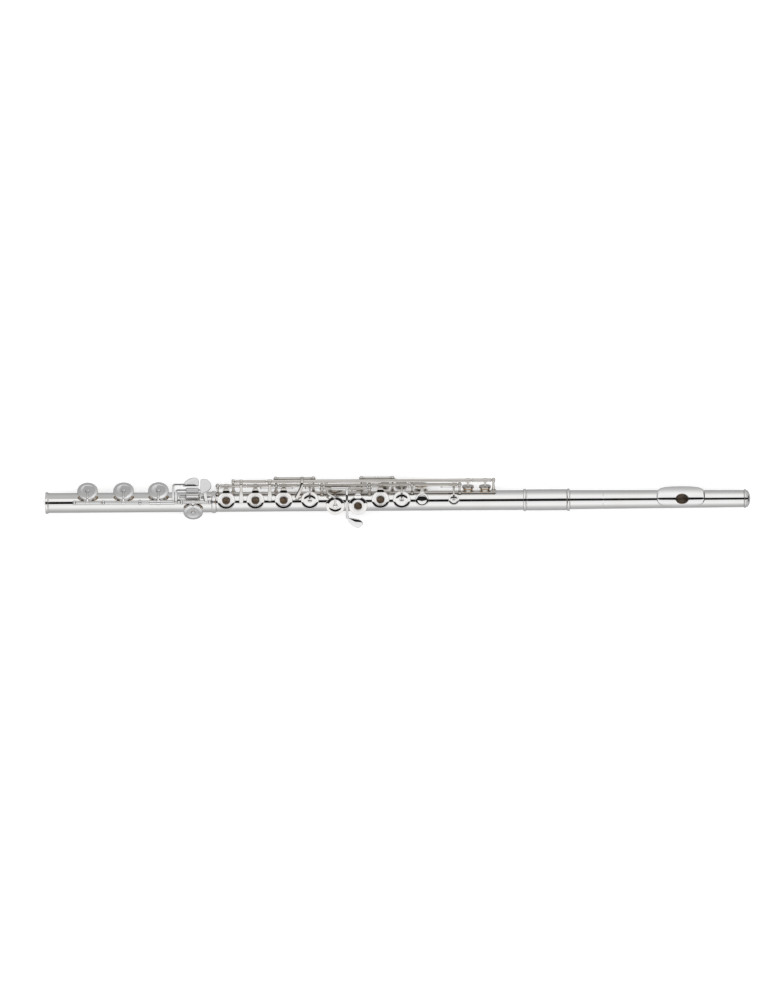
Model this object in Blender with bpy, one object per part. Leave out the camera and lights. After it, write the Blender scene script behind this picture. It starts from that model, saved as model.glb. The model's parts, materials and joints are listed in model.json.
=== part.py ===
"""Concert flute: head joint, body and B foot, with every key on its own hinge.

The tube lies along X with its foot end at -X and its crown at +X. Keys face +Z, and the player's
side, where the hinge rods run, is +Y. Sizes below are in millimetres; meshes are scaled to metres.
A station is a distance along the tube from the open end of the foot. An angle round the tube is
measured in degrees from the top (+Z) towards the player (+Y).
"""

from math import cos, pi, radians, sin

import bmesh
import bpy
from mathutils import Matrix, Vector

METRES = 0.001

# ---------------------------------------------------------------- driving sizes (mm)
LENGTH = 704.8
TUBE_R = 9.9
WALL = 0.5
BORE_R = TUBE_R - WALL
CLEAR = 0.3
PAD_LIFT = 0.2

FOOT_END = 170.5
BODY_START = FOOT_END + CLEAR
BODY_END = 481.6
BARREL_START, BARREL_END = 477.9, 524.1
TENON_LENGTH = 15.0
HEAD_START = 484.0
HEAD_END = 698.2
HEAD_R, HEAD_END_R = 9.5, 8.55
RING_R = 11.2

# The widest pieces on the player's side and on the far side set the middle of the part's box.
BOX_MIDDLE_Y = -1.3
AXIS_HEIGHT = RING_R

# Rim planes of the tone holes, from the tube's axis.
BODY_RIM, FOOT_RIM = 11.9, 12.2
CHIMNEY_WALL = 0.7
CUP_HEIGHT = 3.6
CUP_SKIRT = 1.2
CUP_WALL = 0.5
CUP_PLATE = 0.9
PAD_TOP = 2.4
FINGER_HOLE_R = 3.8

# Hinge lines, as (y, z) from the tube's axis.
MAIN_HINGE = (15.9, 9.5)
G_HINGE = (12.4, 11.9)
TRILL_HINGE = (20.1, 13.0)
SIDE_HINGE = (22.6, 8.6)
FOOT_HINGE = (0.0, 16.5)
KEY_TUBE_R, KEY_TUBE_BORE = 1.65, 1.25
STEEL_R, G_STEEL_R = 0.85, 0.7
# Tubes that turn inside one another: the low C# tube round the low C tube, the G# tube round the G tube.
LOW_C_TUBE_R, LOW_C_TUBE_BORE = 1.6, 1.15
LOW_C_SHARP_TUBE_R, LOW_C_SHARP_TUBE_BORE = 2.4, 1.95
G_TUBE_R, G_TUBE_BORE = 1.4, 1.05
G_SHARP_TUBE_R, G_SHARP_TUBE_BORE = 2.1, 1.72
POST_R, POST_HOLE_R, POST_WIDTH = 2.3, 1.2, 3.2

# Rest angles about each hinge, measured from the closed pose (positive lifts the +Y side).
MAIN_OPEN, G_OPEN, FOOT_OPEN, THUMB_OPEN = -10.0, -9.5, 10.0, 12.0
CLOSED = 0.0

# Tone holes on the body: name, station, angle round the tube, hole radius.
BODY_HOLES = (
    ("d", 181.0, 0.0, 6.9),
    ("e", 210.2, 0.0, 6.9),
    ("f", 238.4, 0.0, 6.9),
    ("f_sharp", 264.5, 0.0, 6.9),
    ("g_lower", 289.8, -21.0, 6.9),
    ("g_upper", 312.5, -21.0, 6.9),
    ("g_sharp", 289.5, 98.0, 6.6),
    ("a", 335.0, 0.0, 6.9),
    ("b_flat", 356.2, 0.0, 6.9),
    ("thumb", 375.5, 92.0, 5.8),
    ("c_sharp", 408.2, 0.0, 3.3),
    ("d_trill", 422.5, 75.0, 3.9),
    ("d_sharp_trill", 439.5, 75.0, 3.9),
)
FOOT_HOLES = (
    ("low_b", 42.5, 47.0, 7.4),
    ("low_c", 78.5, 47.0, 7.4),
    ("low_c_sharp", 113.3, 47.0, 7.4),
    ("d_sharp", 147.8, -44.0, 6.9),
)
HOLES = {name: (station, angle, radius) for name, station, angle, radius in BODY_HOLES + FOOT_HOLES}
CUP_RADII = {"g_lower": 9.4, "g_upper": 9.3, "g_sharp": 8.9, "thumb": 7.4, "c_sharp": 5.5}
CUP_RADII |= {"d_trill": 6.0, "d_sharp_trill": 6.0, "d_sharp": 9.8}
CUP_RADII |= dict.fromkeys(("low_b", "low_c", "low_c_sharp"), 10.4)
BODY_CUP_R = 8.9

MAIN_POSTS = (172.5, 231.0, 276.5, 324.0, 366.5, 414.0)
G_POSTS = (276.5, 324.0)
TRILL_POSTS = (188.0, 448.0)
SIDE_POSTS = (230.5, 268.0, 316.0, 347.0)
FOOT_POSTS = (29.5, 58.3, 94.9, 136.5, 164.5)

EMBOUCHURE = 636.2
EMBOUCHURE_LENGTH, EMBOUCHURE_WIDTH = 12.2, 10.8
PLATE_LENGTH = 48.0
PLATE_MIDDLE = EMBOUCHURE - 1.2

TUBE_SIDES, HOLE_SIDES, CUP_SIDES, ROD_SIDES = 20, 12, 16, 8
# A small turn that keeps the edges of a hole's cutter off the edges of the tube it cuts.
OFF_GRID = 4.3


# ---------------------------------------------------------------- shapes, in millimetres
def at(station):
    """X of a station, with the middle of the flute at 0."""
    return station - LENGTH / 2


def finished(bm, matrix=None):
    """A bmesh made into a closed, outward-facing mesh and moved."""
    bmesh.ops.remove_doubles(bm, verts=bm.verts, dist=1e-4)
    bmesh.ops.recalc_face_normals(bm, faces=bm.faces)
    if bm.calc_volume(signed=True) < 0:
        bmesh.ops.reverse_faces(bm, faces=bm.faces)
    if matrix is not None:
        bm.transform(matrix)
    mesh = bpy.data.meshes.new("shape")
    bm.to_mesh(mesh)
    bm.free()
    return mesh


def turned(outline, sides, matrix=None):
    """An outline of (radius, height) turned about Z. A closed outline starts and ends off the axis."""
    bm = bmesh.new()
    points = [bm.verts.new((radius, 0, height)) for radius, height in outline]
    for first, second in zip(points, points[1:]):
        bm.edges.new((first, second))
    if outline[0][0] > 0:
        bm.edges.new((points[-1], points[0]))
    bmesh.ops.spin(bm, geom=bm.verts[:] + bm.edges[:], axis=(0, 0, 1), cent=(0, 0, 0),
                   angle=2 * pi, steps=sides, use_merge=True)
    return finished(bm, matrix)


def along_tube(outline, sides, hinge=(0.0, 0.0)):
    """An outline of (radius, station) turned about a line parallel to the tube."""
    lie_down = Matrix.Translation((0, *hinge)) @ Matrix.Rotation(pi / 2, 4, "Y")
    return turned([(radius, at(station)) for radius, station in outline], sides, lie_down)


def pipe(start, end, outer, inner, sides, hinge=(0.0, 0.0)):
    """A straight tube between two stations."""
    return along_tube([(inner, start), (outer, start), (outer, end), (inner, end)], sides, hinge)


def bar(start, end, radius, sides, hinge=(0.0, 0.0)):
    """A solid round bar between two stations."""
    return along_tube([(0, start), (radius, start), (radius, end), (0, end)], sides, hinge)


def prism(outline, low, high, matrix=None):
    """A flat outline in X and Y, raised from low to high."""
    bm = bmesh.new()
    face = bm.faces.new([bm.verts.new((x, y, low)) for x, y in outline])
    raised = bmesh.ops.extrude_face_region(bm, geom=[face])["geom"]
    corners = [item for item in raised if isinstance(item, bmesh.types.BMVert)]
    bmesh.ops.translate(bm, verts=corners, vec=(0, 0, high - low))
    return finished(bm, matrix)


def strip(path, across=(1, 0, 0)):
    """A flat bar through points of (station, y, z, width, thickness), its width lying across."""
    places = [Vector((at(s), y, z)) for s, y, z, _, _ in path]
    bm = bmesh.new()
    rings = []
    for index, (place, point) in enumerate(zip(places, path)):
        before, after = places[max(index - 1, 0)], places[min(index + 1, len(places) - 1)]
        ahead = (after - before).normalized()
        side = (Vector(across) - ahead * ahead.dot(Vector(across))).normalized()
        top = side.cross(ahead)
        half_width, half_thick = side * point[3] / 2, top * point[4] / 2
        corners = (half_width + half_thick, half_thick - half_width,
                   -half_width - half_thick, half_width - half_thick)
        rings.append([bm.verts.new(place + corner) for corner in corners])
    for first, second in zip(rings, rings[1:]):
        for index in range(4):
            following = (index + 1) % 4
            bm.faces.new((first[index], first[following], second[following], second[index]))
    bm.faces.new(rings[0])
    bm.faces.new(rings[-1][::-1])
    return finished(bm)


def arc_plate(start, end, first_angle, last_angle, inner, outer, steps=3):
    """A strap that follows the tube's surface between two stations and two angles."""
    angles = [radians(first_angle + (last_angle - first_angle) * i / steps) for i in range(steps + 1)]
    rim = [(outer * sin(a), outer * cos(a)) for a in angles]
    rim += [(inner * sin(a), inner * cos(a)) for a in reversed(angles)]
    stand = Matrix(((0, 0, 1, 0), (1, 0, 0, 0), (0, 1, 0, 0), (0, 0, 0, 1)))
    return prism(rim, at(start), at(end), stand)


def ellipse(middle_x, middle_y, half_x, half_y, sides):
    turns = [2 * pi * i / sides for i in range(sides)]
    return [(middle_x + half_x * cos(t), middle_y + half_y * sin(t)) for t in turns]


# ---------------------------------------------------------------- places
def seat(name, rim):
    """The middle of a tone hole's rim plane, with Z pointing away from the tube."""
    station, angle, _ = HOLES[name]
    return (Matrix.Translation((at(station), 0, 0)) @ Matrix.Rotation(-radians(angle), 4, "X")
            @ Matrix.Translation((0, 0, rim)))


def swung(hinge, angle):
    """A turn in degrees about a hinge line."""
    centre = Vector((0, *hinge))
    return Matrix.Translation(centre) @ Matrix.Rotation(radians(angle), 4, "X") @ Matrix.Translation(-centre)


def polar(angle, radius):
    """(y, z) at an angle round the tube."""
    return radius * sin(radians(angle)), radius * cos(radians(angle))


# ---------------------------------------------------------------- objects
def material(name, colour, metallic, roughness):
    made = bpy.data.materials.new(name)
    made.use_nodes = True
    shader = made.node_tree.nodes["Principled BSDF"]
    shader.inputs["Base Color"].default_value = (*colour, 1)
    shader.inputs["Metallic"].default_value = metallic
    shader.inputs["Roughness"].default_value = roughness
    return made


FINISHES = {
    "silver": ((0.90, 0.90, 0.89), 1.0, 0.12),
    "steel": ((0.55, 0.56, 0.58), 1.0, 0.25),
    "pad_skin": ((0.62, 0.47, 0.28), 0.0, 0.6),
    "cork": ((0.55, 0.38, 0.22), 0.0, 0.9),
}


def scratch_object(mesh, collection):
    made = bpy.data.objects.new("scratch", mesh)
    collection.objects.link(made)
    return made


def combined(shapes, operation="UNION"):
    """The first shape with all the others joined to it, or cut from it, in one Boolean."""
    others = bpy.data.collections.new("operands")
    bpy.context.scene.collection.children.link(others)
    base = scratch_object(shapes[0], bpy.context.scene.collection)
    for shape in shapes[1:]:
        scratch_object(shape, others)
    step = base.modifiers.new("step", "BOOLEAN")
    step.operation = operation
    step.solver = "EXACT"
    step.operand_type = "COLLECTION"
    step.collection = others
    bpy.context.view_layer.update()
    mesh = bpy.data.meshes.new_from_object(base.evaluated_get(bpy.context.evaluated_depsgraph_get()))
    for item in [base, *others.objects]:
        bpy.data.objects.remove(item)
    bpy.data.collections.remove(others)
    return mesh


def part(name, finish, shapes, origin=(0.0, 0.0, 0.0)):
    """One solid named part, its origin at (station, y, z), in the world's frame and in metres."""
    mesh = combined(shapes) if isinstance(shapes, list) else shapes
    centre = Vector((at(origin[0]) if origin[0] else 0.0, origin[1], origin[2]))
    mesh.transform(Matrix.Scale(METRES, 4) @ Matrix.Translation(-centre))
    mesh.name = name
    mesh.shade_smooth()
    mesh.set_sharp_from_angle(angle=radians(35))
    mesh.materials.clear()
    mesh.materials.append(material(name, *FINISHES[finish]))
    made = bpy.data.objects.new(name, mesh)
    made.location = (centre + Vector((0, -BOX_MIDDLE_Y, AXIS_HEIGHT))) * METRES
    bpy.context.scene.collection.objects.link(made)
    return made


# ---------------------------------------------------------------- tubes
def chimney_and_cutter(name, rim):
    """The wall round a tone hole and the cutter that opens it."""
    station, angle, radius = HOLES[name]
    place = seat(name, 0) @ Matrix.Rotation(radians(OFF_GRID), 4, "Z")
    root = TUBE_R - 3.2
    wall = turned([(0, root), (radius + CHIMNEY_WALL, root), (radius + CHIMNEY_WALL, rim), (0, rim)],
                  HOLE_SIDES, place)
    cutter = turned([(0, BORE_R * 0.3), (radius, BORE_R * 0.3), (radius, rim + 1), (0, rim + 1)],
                    HOLE_SIDES, place)
    return wall, cutter


def joint_tube(name, outline, bore, holes, rim):
    """A tube with the walls of its tone holes joined on and its bore and holes cut through."""
    walls, cutters = zip(*(chimney_and_cutter(hole[0], rim) for hole in holes))
    solid = combined([along_tube(outline, TUBE_SIDES), *walls])
    part(name, "silver", combined([solid, combined([bore, *cutters])], "DIFFERENCE"))


def make_foot_tube():
    socket_r = TUBE_R - 0.25 + CLEAR
    sleeve_r, sleeve_start = TUBE_R + 0.45, FOOT_END - TENON_LENGTH - 1.5
    outline = [(0, 0), (TUBE_R + 0.9, 0), (RING_R - 0.3, 1.2), (RING_R - 0.3, 2.6), (TUBE_R, 3.6),
               (TUBE_R, sleeve_start), (sleeve_r, sleeve_start), (sleeve_r, FOOT_END - 4),
               (RING_R, FOOT_END - 3.2), (RING_R, FOOT_END - 0.6), (RING_R - 0.5, FOOT_END), (0, FOOT_END)]
    bore = along_tube([(0, -1), (BORE_R, -1), (BORE_R, FOOT_END - TENON_LENGTH - 1),
                       (socket_r, FOOT_END - TENON_LENGTH - 1), (socket_r, FOOT_END + 1), (0, FOOT_END + 1)],
                      TUBE_SIDES)
    joint_tube("foot_tube", outline, bore, FOOT_HOLES, FOOT_RIM)


def make_body_tube():
    tenon_start, tenon_r = FOOT_END - TENON_LENGTH, TUBE_R - 0.25
    outline = [(0, tenon_start), (tenon_r, tenon_start), (tenon_r, BODY_START), (TUBE_R, BODY_START),
               (TUBE_R, BODY_END), (0, BODY_END)]
    bore = bar(tenon_start - 1, BODY_END + 1, BORE_R - 0.2, TUBE_SIDES)
    joint_tube("body_tube", outline, bore, BODY_HOLES, BODY_RIM)


def make_barrel():
    slide_r, seat_r, sleeve_r, ring_r = HEAD_R + CLEAR, TUBE_R + CLEAR, 10.45, RING_R
    part("barrel", "silver", along_tube(
        [(seat_r, BARREL_START), (ring_r - 0.4, BARREL_START), (ring_r, BARREL_START + 0.8),
         (ring_r, BARREL_START + 3.6), (sleeve_r, BARREL_START + 4.6), (sleeve_r, BARREL_END - 4.9),
         (ring_r, BARREL_END - 4), (ring_r, BARREL_END - 0.7), (ring_r - 0.4, BARREL_END),
         (slide_r, BARREL_END), (slide_r, BARREL_START + 4.2), (seat_r, BARREL_START + 4.2)], TUBE_SIDES))


# ---------------------------------------------------------------- head joint
def head_radius(station):
    """The head's outside radius: straight inside the barrel, then tapering to the crown."""
    share = max(0.0, (station - BARREL_END) / (HEAD_END - BARREL_END))
    return HEAD_R + (HEAD_END_R - HEAD_R) * share


def plate_height(u, v):
    """Height of the lip plate's top over the tube's axis; u and v run from -1 to 1 across it."""
    return 12.6 - 1.1 * u * u - 2.2 * min(v, 0.0) ** 2 + 1.8 * max(v - 0.15, 0.0) ** 2


PLATE_FRONT, PLATE_BACK = -58.0, 72.0
FRONT_SQUARE, BACK_SQUARE = 0.8, 0.42


def plate_edge(turn):
    """Where the lip plate's rim lies in a direction: squarer behind, where the chin rests."""
    power = BACK_SQUARE if sin(turn) > 0 else FRONT_SQUARE
    return tuple((1 if value >= 0 else -1) * abs(value) ** power for value in (cos(turn), sin(turn)))


def lip_patch(shrink, thickness, columns, rows):
    """A closed shell on the lip plate's surface, cut to a rounded rectangle and sunk by a thickness."""
    bm = bmesh.new()
    middle, half = (PLATE_FRONT + PLATE_BACK) / 2, (PLATE_BACK - PLATE_FRONT) / 2
    top, low = [], []
    for ring in range(rows + 1):
        reach = shrink + (1 - shrink) * ring / rows
        for layer, depth in ((top, 0.0), (low, thickness)):
            layer.append([])
            for column in range(columns):
                turn = 2 * pi * column / columns
                u, v = (reach * value for value in plate_edge(turn))
                y, z = polar(middle + half * v, plate_height(u, v) - depth)
                layer[-1].append(bm.verts.new((at(PLATE_MIDDLE) + PLATE_LENGTH / 2 * u, y, z)))
    for column in range(columns):
        after = (column + 1) % columns
        for layer in (top, low):
            for ring in range(rows):
                bm.faces.new((layer[ring][column], layer[ring][after],
                              layer[ring + 1][after], layer[ring + 1][column]))
        for ring in (0, rows):
            bm.faces.new((top[ring][column], top[ring][after], low[ring][after], low[ring][column]))
    return finished(bm)


def oval_cutter(grow, low, high):
    rim = ellipse(at(EMBOUCHURE), 0, EMBOUCHURE_LENGTH / 2 + grow, EMBOUCHURE_WIDTH / 2 + grow, CUP_SIDES)
    return prism(rim, low, high)


def make_head():
    outer = [(0, HEAD_START), (HEAD_R, HEAD_START), (HEAD_R, BARREL_END), (HEAD_END_R, HEAD_END),
             (0, HEAD_END)]
    bore = along_tube([(0, HEAD_START - 1), (HEAD_R - WALL, HEAD_START - 1), (HEAD_R - WALL, BARREL_END),
                       (HEAD_END_R - WALL, HEAD_END + 1), (0, HEAD_END + 1)], TUBE_SIDES)
    tube = combined([along_tube(outer, TUBE_SIDES), bore, oval_cutter(1.2, 0, 14)], "DIFFERENCE")
    part("head_tube", "silver", tube)
    riser = combined([oval_cutter(0.9, 4, 12), bar(EMBOUCHURE - 20, EMBOUCHURE + 20, 8.25, TUBE_SIDES),
                      oval_cutter(0, 0, 14)], "DIFFERENCE")
    part("embouchure_riser", "silver", riser)
    plate = combined([lip_patch(0.12, 0.9, 24, 4), oval_cutter(1.2, 5, 16)], "DIFFERENCE")
    part("lip_plate", "silver", plate)


def make_crown_and_stopper():
    rod_r, hole_r = 1.6, 1.95
    ring_r, dome_start = 9.55, 701.0
    dome = [(ring_r - 0.6, dome_start), (7.4, 702.9), (4.2, 704.2), (0, LENGTH)]
    plug_r, plug_start = HEAD_END_R - WALL - CLEAR, HEAD_END - 8
    crown = along_tube(
        [(0, plug_start + 7.4), (hole_r, plug_start + 7.4), (hole_r, plug_start), (plug_r, plug_start),
         (plug_r, HEAD_END + CLEAR), (ring_r - 0.3, HEAD_END + CLEAR), (ring_r, HEAD_END + 0.9),
         (ring_r, dome_start - 0.7), *dome], CUP_SIDES)
    part("crown", "silver", crown)
    plate_at, plate_r, plate_thick = EMBOUCHURE + 17, 8.0, 1.5
    cork_start, cork_end = plate_at + plate_thick + CLEAR, plate_at + 16
    part("stopper_screw", "silver", along_tube(
        [(0, plate_at), (plate_r, plate_at), (plate_r, plate_at + plate_thick),
         (rod_r, plate_at + plate_thick), (rod_r, plug_start + 6), (0, plug_start + 6)], CUP_SIDES))
    part("stopper_cork", "cork", pipe(cork_start, cork_end, plate_r, hole_r, CUP_SIDES))
    part("stopper_nut", "silver", pipe(cork_end + CLEAR, cork_end + CLEAR + 1.4, plate_r - 0.5, hole_r,
                                       CUP_SIDES))


# ---------------------------------------------------------------- posts and steels
def post_head(station, hinge):
    return pipe(station - POST_WIDTH / 2, station + POST_WIDTH / 2, POST_R, POST_HOLE_R, ROD_SIDES, hinge)


def post_stem(station, hinge, foot, bend=None):
    """A stem from a foot on the tube to just short of the hole in its head."""
    points = [Vector(foot), *([Vector(bend)] if bend else []), Vector(hinge)]
    away = (points[-2] - points[-1]).normalized()
    points[-1] = points[-1] + away * (POST_HOLE_R + 0.5)
    return strip([(station, y, z, 2.2, 2.2) for y, z in points])


def room_for_chimneys(holes):
    """Cutters a little wider than the walls round the tone holes."""
    return [turned([(0, 0), (radius + CHIMNEY_WALL + CLEAR, 0),
                    (radius + CHIMNEY_WALL + CLEAR, FOOT_RIM + 1), (0, FOOT_RIM + 1)],
                   HOLE_SIDES, seat(name, 0) @ Matrix.Rotation(radians(OFF_GRID), 4, "Z"))
            for name, _, _, radius in holes]


def make_body_posts():
    strap_in, strap_out = TUBE_R + CLEAR, TUBE_R + 1.2
    shapes = [arc_plate(MAIN_POSTS[0] - 1.4, TRILL_POSTS[-1] + 2.5, 44, 60, strap_in, strap_out)]
    for station in MAIN_POSTS:
        shapes += [post_stem(station, MAIN_HINGE, polar(47, strap_out - 0.5)), post_head(station, MAIN_HINGE)]
    for station in G_POSTS:
        shapes += [post_stem(station, G_HINGE, polar(47, strap_out - 0.4)), post_head(station, G_HINGE)]
    for station in TRILL_POSTS:
        shapes += [arc_plate(station - 2.4, station + 2.4, 51, 84, strap_in, strap_out, 4),
                   post_stem(station, TRILL_HINGE, polar(80, strap_out - 0.5), (20.4, 5.0)),
                   post_head(station, TRILL_HINGE)]
    for station in SIDE_POSTS:
        shapes += [arc_plate(station - 1.6, station + 1.6, 51, 86, strap_in, strap_out, 4),
                   post_stem(station, SIDE_HINGE, polar(80, strap_out - 0.5)),
                   post_head(station, SIDE_HINGE)]
    part("body_rib_and_posts", "silver",
         combined([combined(shapes), *room_for_chimneys(BODY_HOLES)], "DIFFERENCE"))


def make_foot_posts():
    strap_in, strap_out = TUBE_R + 0.45 + CLEAR, TUBE_R + 1.7
    shapes = [arc_plate(FOOT_POSTS[0] - 2, FOOT_POSTS[-1] + 1.2, -9, 9, strap_in, strap_out, 2)]
    for station in FOOT_POSTS:
        shapes.append(post_stem(station, FOOT_HINGE, polar(0, strap_out - 0.4)))
        wide = station == FOOT_POSTS[2]
        hole = LOW_C_TUBE_R + 0.35 if wide else POST_HOLE_R
        shapes.append(pipe(station - 1.2, station + 1.2, POST_R + (0.6 if wide else 0), hole, ROD_SIDES,
                           FOOT_HINGE))
    part("foot_rib_and_posts", "silver",
         combined([combined(shapes), *room_for_chimneys(FOOT_HOLES)], "DIFFERENCE"))


def make_steels():
    for name, start, end, hinge, radius in (
        ("right_hand_steel", MAIN_POSTS[0] - 1.8, MAIN_POSTS[2] - 0.2, MAIN_HINGE, STEEL_R),
        ("left_hand_steel", MAIN_POSTS[2] + 0.4, MAIN_POSTS[-1] + 1.8, MAIN_HINGE, STEEL_R),
        ("offset_g_steel", G_POSTS[0] - 1.8, G_POSTS[-1] + 1.8, G_HINGE, G_STEEL_R),
        ("side_lever_steel", SIDE_POSTS[0] - 1.8, SIDE_POSTS[1] + 1.8, SIDE_HINGE, STEEL_R),
        ("thumb_steel", SIDE_POSTS[2] - 1.8, SIDE_POSTS[3] + 1.8, SIDE_HINGE, STEEL_R),
        ("d_sharp_steel", FOOT_POSTS[3] + 0.3, FOOT_POSTS[4] + 1.8, FOOT_HINGE, STEEL_R),
    ):
        part(name, "steel", bar(start, end, radius, ROD_SIDES, hinge))


# ---------------------------------------------------------------- keys
def cup_radius(name):
    return CUP_RADII.get(name, BODY_CUP_R)


def cup_shape(name, rim, hinge, angle, open_hole=False, height=CUP_HEIGHT):
    """A pad cup at its tone hole, swung to the key's rest angle."""
    outer = cup_radius(name)
    inner, ceiling = outer - CUP_WALL, height - CUP_PLATE
    place = swung(hinge, angle) @ seat(name, rim)
    side = [(inner, ceiling), (inner, CUP_SKIRT), (outer, CUP_SKIRT), (outer, height - 0.5),
            (outer - 0.5, height)]
    if not open_hole:
        return turned([(0, ceiling), *side, (0, height)], CUP_SIDES, place)
    hole, sleeve = FINGER_HOLE_R, FINGER_HOLE_R + CUP_WALL
    return turned([*side, (hole, height), (hole, PAD_LIFT + 0.7), (sleeve, PAD_LIFT + 0.7),
                   (sleeve, ceiling)], CUP_SIDES, place)


def make_pad(name, rim, hinge, angle, open_hole=False):
    radius = cup_radius(name) - CUP_WALL - CLEAR
    place = swung(hinge, angle) @ seat(name, rim)
    inner = FINGER_HOLE_R + CUP_WALL + CLEAR if open_hole else 0
    ring = [(inner, PAD_LIFT), (radius, PAD_LIFT), (radius, PAD_TOP), (inner, PAD_TOP)]
    part(f"{name}_pad", "pad_skin", turned(ring, CUP_SIDES, place), (HOLES[name][0], *hinge))


def key_tube(start, end, hinge=MAIN_HINGE):
    return pipe(start, end, KEY_TUBE_R, KEY_TUBE_BORE, ROD_SIDES, hinge)


def key(name, hinge, station, shapes):
    part(name, "silver", shapes, (station, *hinge))


def swung_strip(path, hinge, angle, across=(1, 0, 0)):
    mesh = strip(path, across)
    mesh.transform(swung(hinge, angle))
    return mesh


def cup_arm(hinge, swing, station, angle, face, radius, reach=0.0, width=3.0, hub=KEY_TUBE_R, root=None):
    """A tapering arm from a hinge tube over a cup's edge, to a reach from the middle of its face."""
    pivot, middle, outward = Vector(hinge), Vector(polar(angle, face)), Vector(polar(angle, 1))
    across = Vector((outward.y, -outward.x))
    if across.dot(pivot - middle) < 0:
        across = -across
    edge = middle + across * radius * 0.9 + outward * 0.1
    lifted = (edge + pivot) / 2 + outward * 0.6
    start = pivot + (lifted - pivot).normalized() * (hub - 0.2)
    end = middle + across * reach + outward * 0.1
    root = station if root is None else root
    path = [(root, *start, width, 1.2), (root, *lifted, width, 1.2),
            (station, *edge, width * 0.8, 1.2), (station, *end, width * (0.7 if reach else 0.4), 1.2)]
    return swung_strip(path, hinge, swing)


def hole_arm(name, rim, hinge, swing, open_hole=False, **shape):
    """The arm of a cup that stands on a tone hole."""
    station, angle, _ = HOLES[name]
    reach = FINGER_HOLE_R + 1.6 if open_hole else 0.0
    width = 4.0 if open_hole else 3.0
    return cup_arm(hinge, swing, station, angle, rim + CUP_HEIGHT, cup_radius(name), reach, width, **shape)


def make_cup_key(name, rim, hinge, swing, tube, open_hole=False, extra=()):
    """A key with one padded cup on its own tube, and its pad."""
    key(f"{name}_key", hinge, HOLES[name][0], [
        tube, cup_shape(name, rim, hinge, swing, open_hole),
        hole_arm(name, rim, hinge, swing, open_hole), *extra])
    make_pad(name, rim, hinge, swing, open_hole)


def make_main_line_keys():
    """The right hand's keys and the A and B flat keys, each on its stretch of the main line."""
    stretches = (("d", 174.9, 200.8, True), ("e", 201.4, 228.6, True), ("f", 233.4, 253.2, True),
                 ("f_sharp", 253.8, 274.1, False), ("a", 326.4, 345.6, True),
                 ("b_flat", 346.2, 364.1, False))
    for name, start, end, open_hole in stretches:
        make_cup_key(name, BODY_RIM, MAIN_HINGE, MAIN_OPEN, key_tube(start, end), open_hole)


def make_connecting_tube():
    """The tube that carries the right hand's motion past the G keys, with a lug at each end."""
    start, end, inset = 278.9, 321.6, 2.0
    y, z = MAIN_HINGE
    lugs = [strip([(station, y + 1.3, z - 0.2, 3.4, 1.2), (station, y + 3.4, z - 1.6, 3.4, 1.2)])
            for station in (start + inset, end - inset)]
    key("connecting_tube", MAIN_HINGE, (start + end) / 2, [key_tube(start, end), *lugs])


def make_c_key():
    """The index finger's plain touch, on one tube with the small C sharp cup."""
    touch, radius = 376.5, 6.8
    dish = turned([(0, 1.9), (4.0, 2.2), (radius, 2.4), (radius, 3.3), (radius - 0.5, CUP_HEIGHT),
                   (4.2, CUP_HEIGHT), (2.2, 3.0), (0, 2.8)], CUP_SIDES,
                  swung(MAIN_HINGE, MAIN_OPEN) @ Matrix.Translation((at(touch), 0, BODY_RIM)))
    arm = cup_arm(MAIN_HINGE, MAIN_OPEN, touch, 0.0, BODY_RIM + CUP_HEIGHT, radius, 5.4, 4.0)
    key("c_key", MAIN_HINGE, touch, [
        key_tube(368.9, 411.7), dish, arm, cup_shape("c_sharp", BODY_RIM, MAIN_HINGE, MAIN_OPEN),
        hole_arm("c_sharp", BODY_RIM, MAIN_HINGE, MAIN_OPEN)])
    make_pad("c_sharp", BODY_RIM, MAIN_HINGE, MAIN_OPEN)


def make_g_keys():
    """Both G cups stand on one tube, set out of line for the ring finger."""
    key("g_keys", G_HINGE, HOLES["g_upper"][0], [
        pipe(278.6, 321.9, G_TUBE_R, G_TUBE_BORE, ROD_SIDES, G_HINGE),
        cup_shape("g_upper", BODY_RIM, G_HINGE, G_OPEN, open_hole=True),
        cup_shape("g_lower", BODY_RIM, G_HINGE, G_OPEN),
        hole_arm("g_upper", BODY_RIM, G_HINGE, G_OPEN, open_hole=True, hub=G_TUBE_R),
        hole_arm("g_lower", BODY_RIM, G_HINGE, G_OPEN, hub=G_TUBE_R, root=282.0)])
    make_pad("g_upper", BODY_RIM, G_HINGE, G_OPEN, open_hole=True)
    make_pad("g_lower", BODY_RIM, G_HINGE, G_OPEN)


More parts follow.
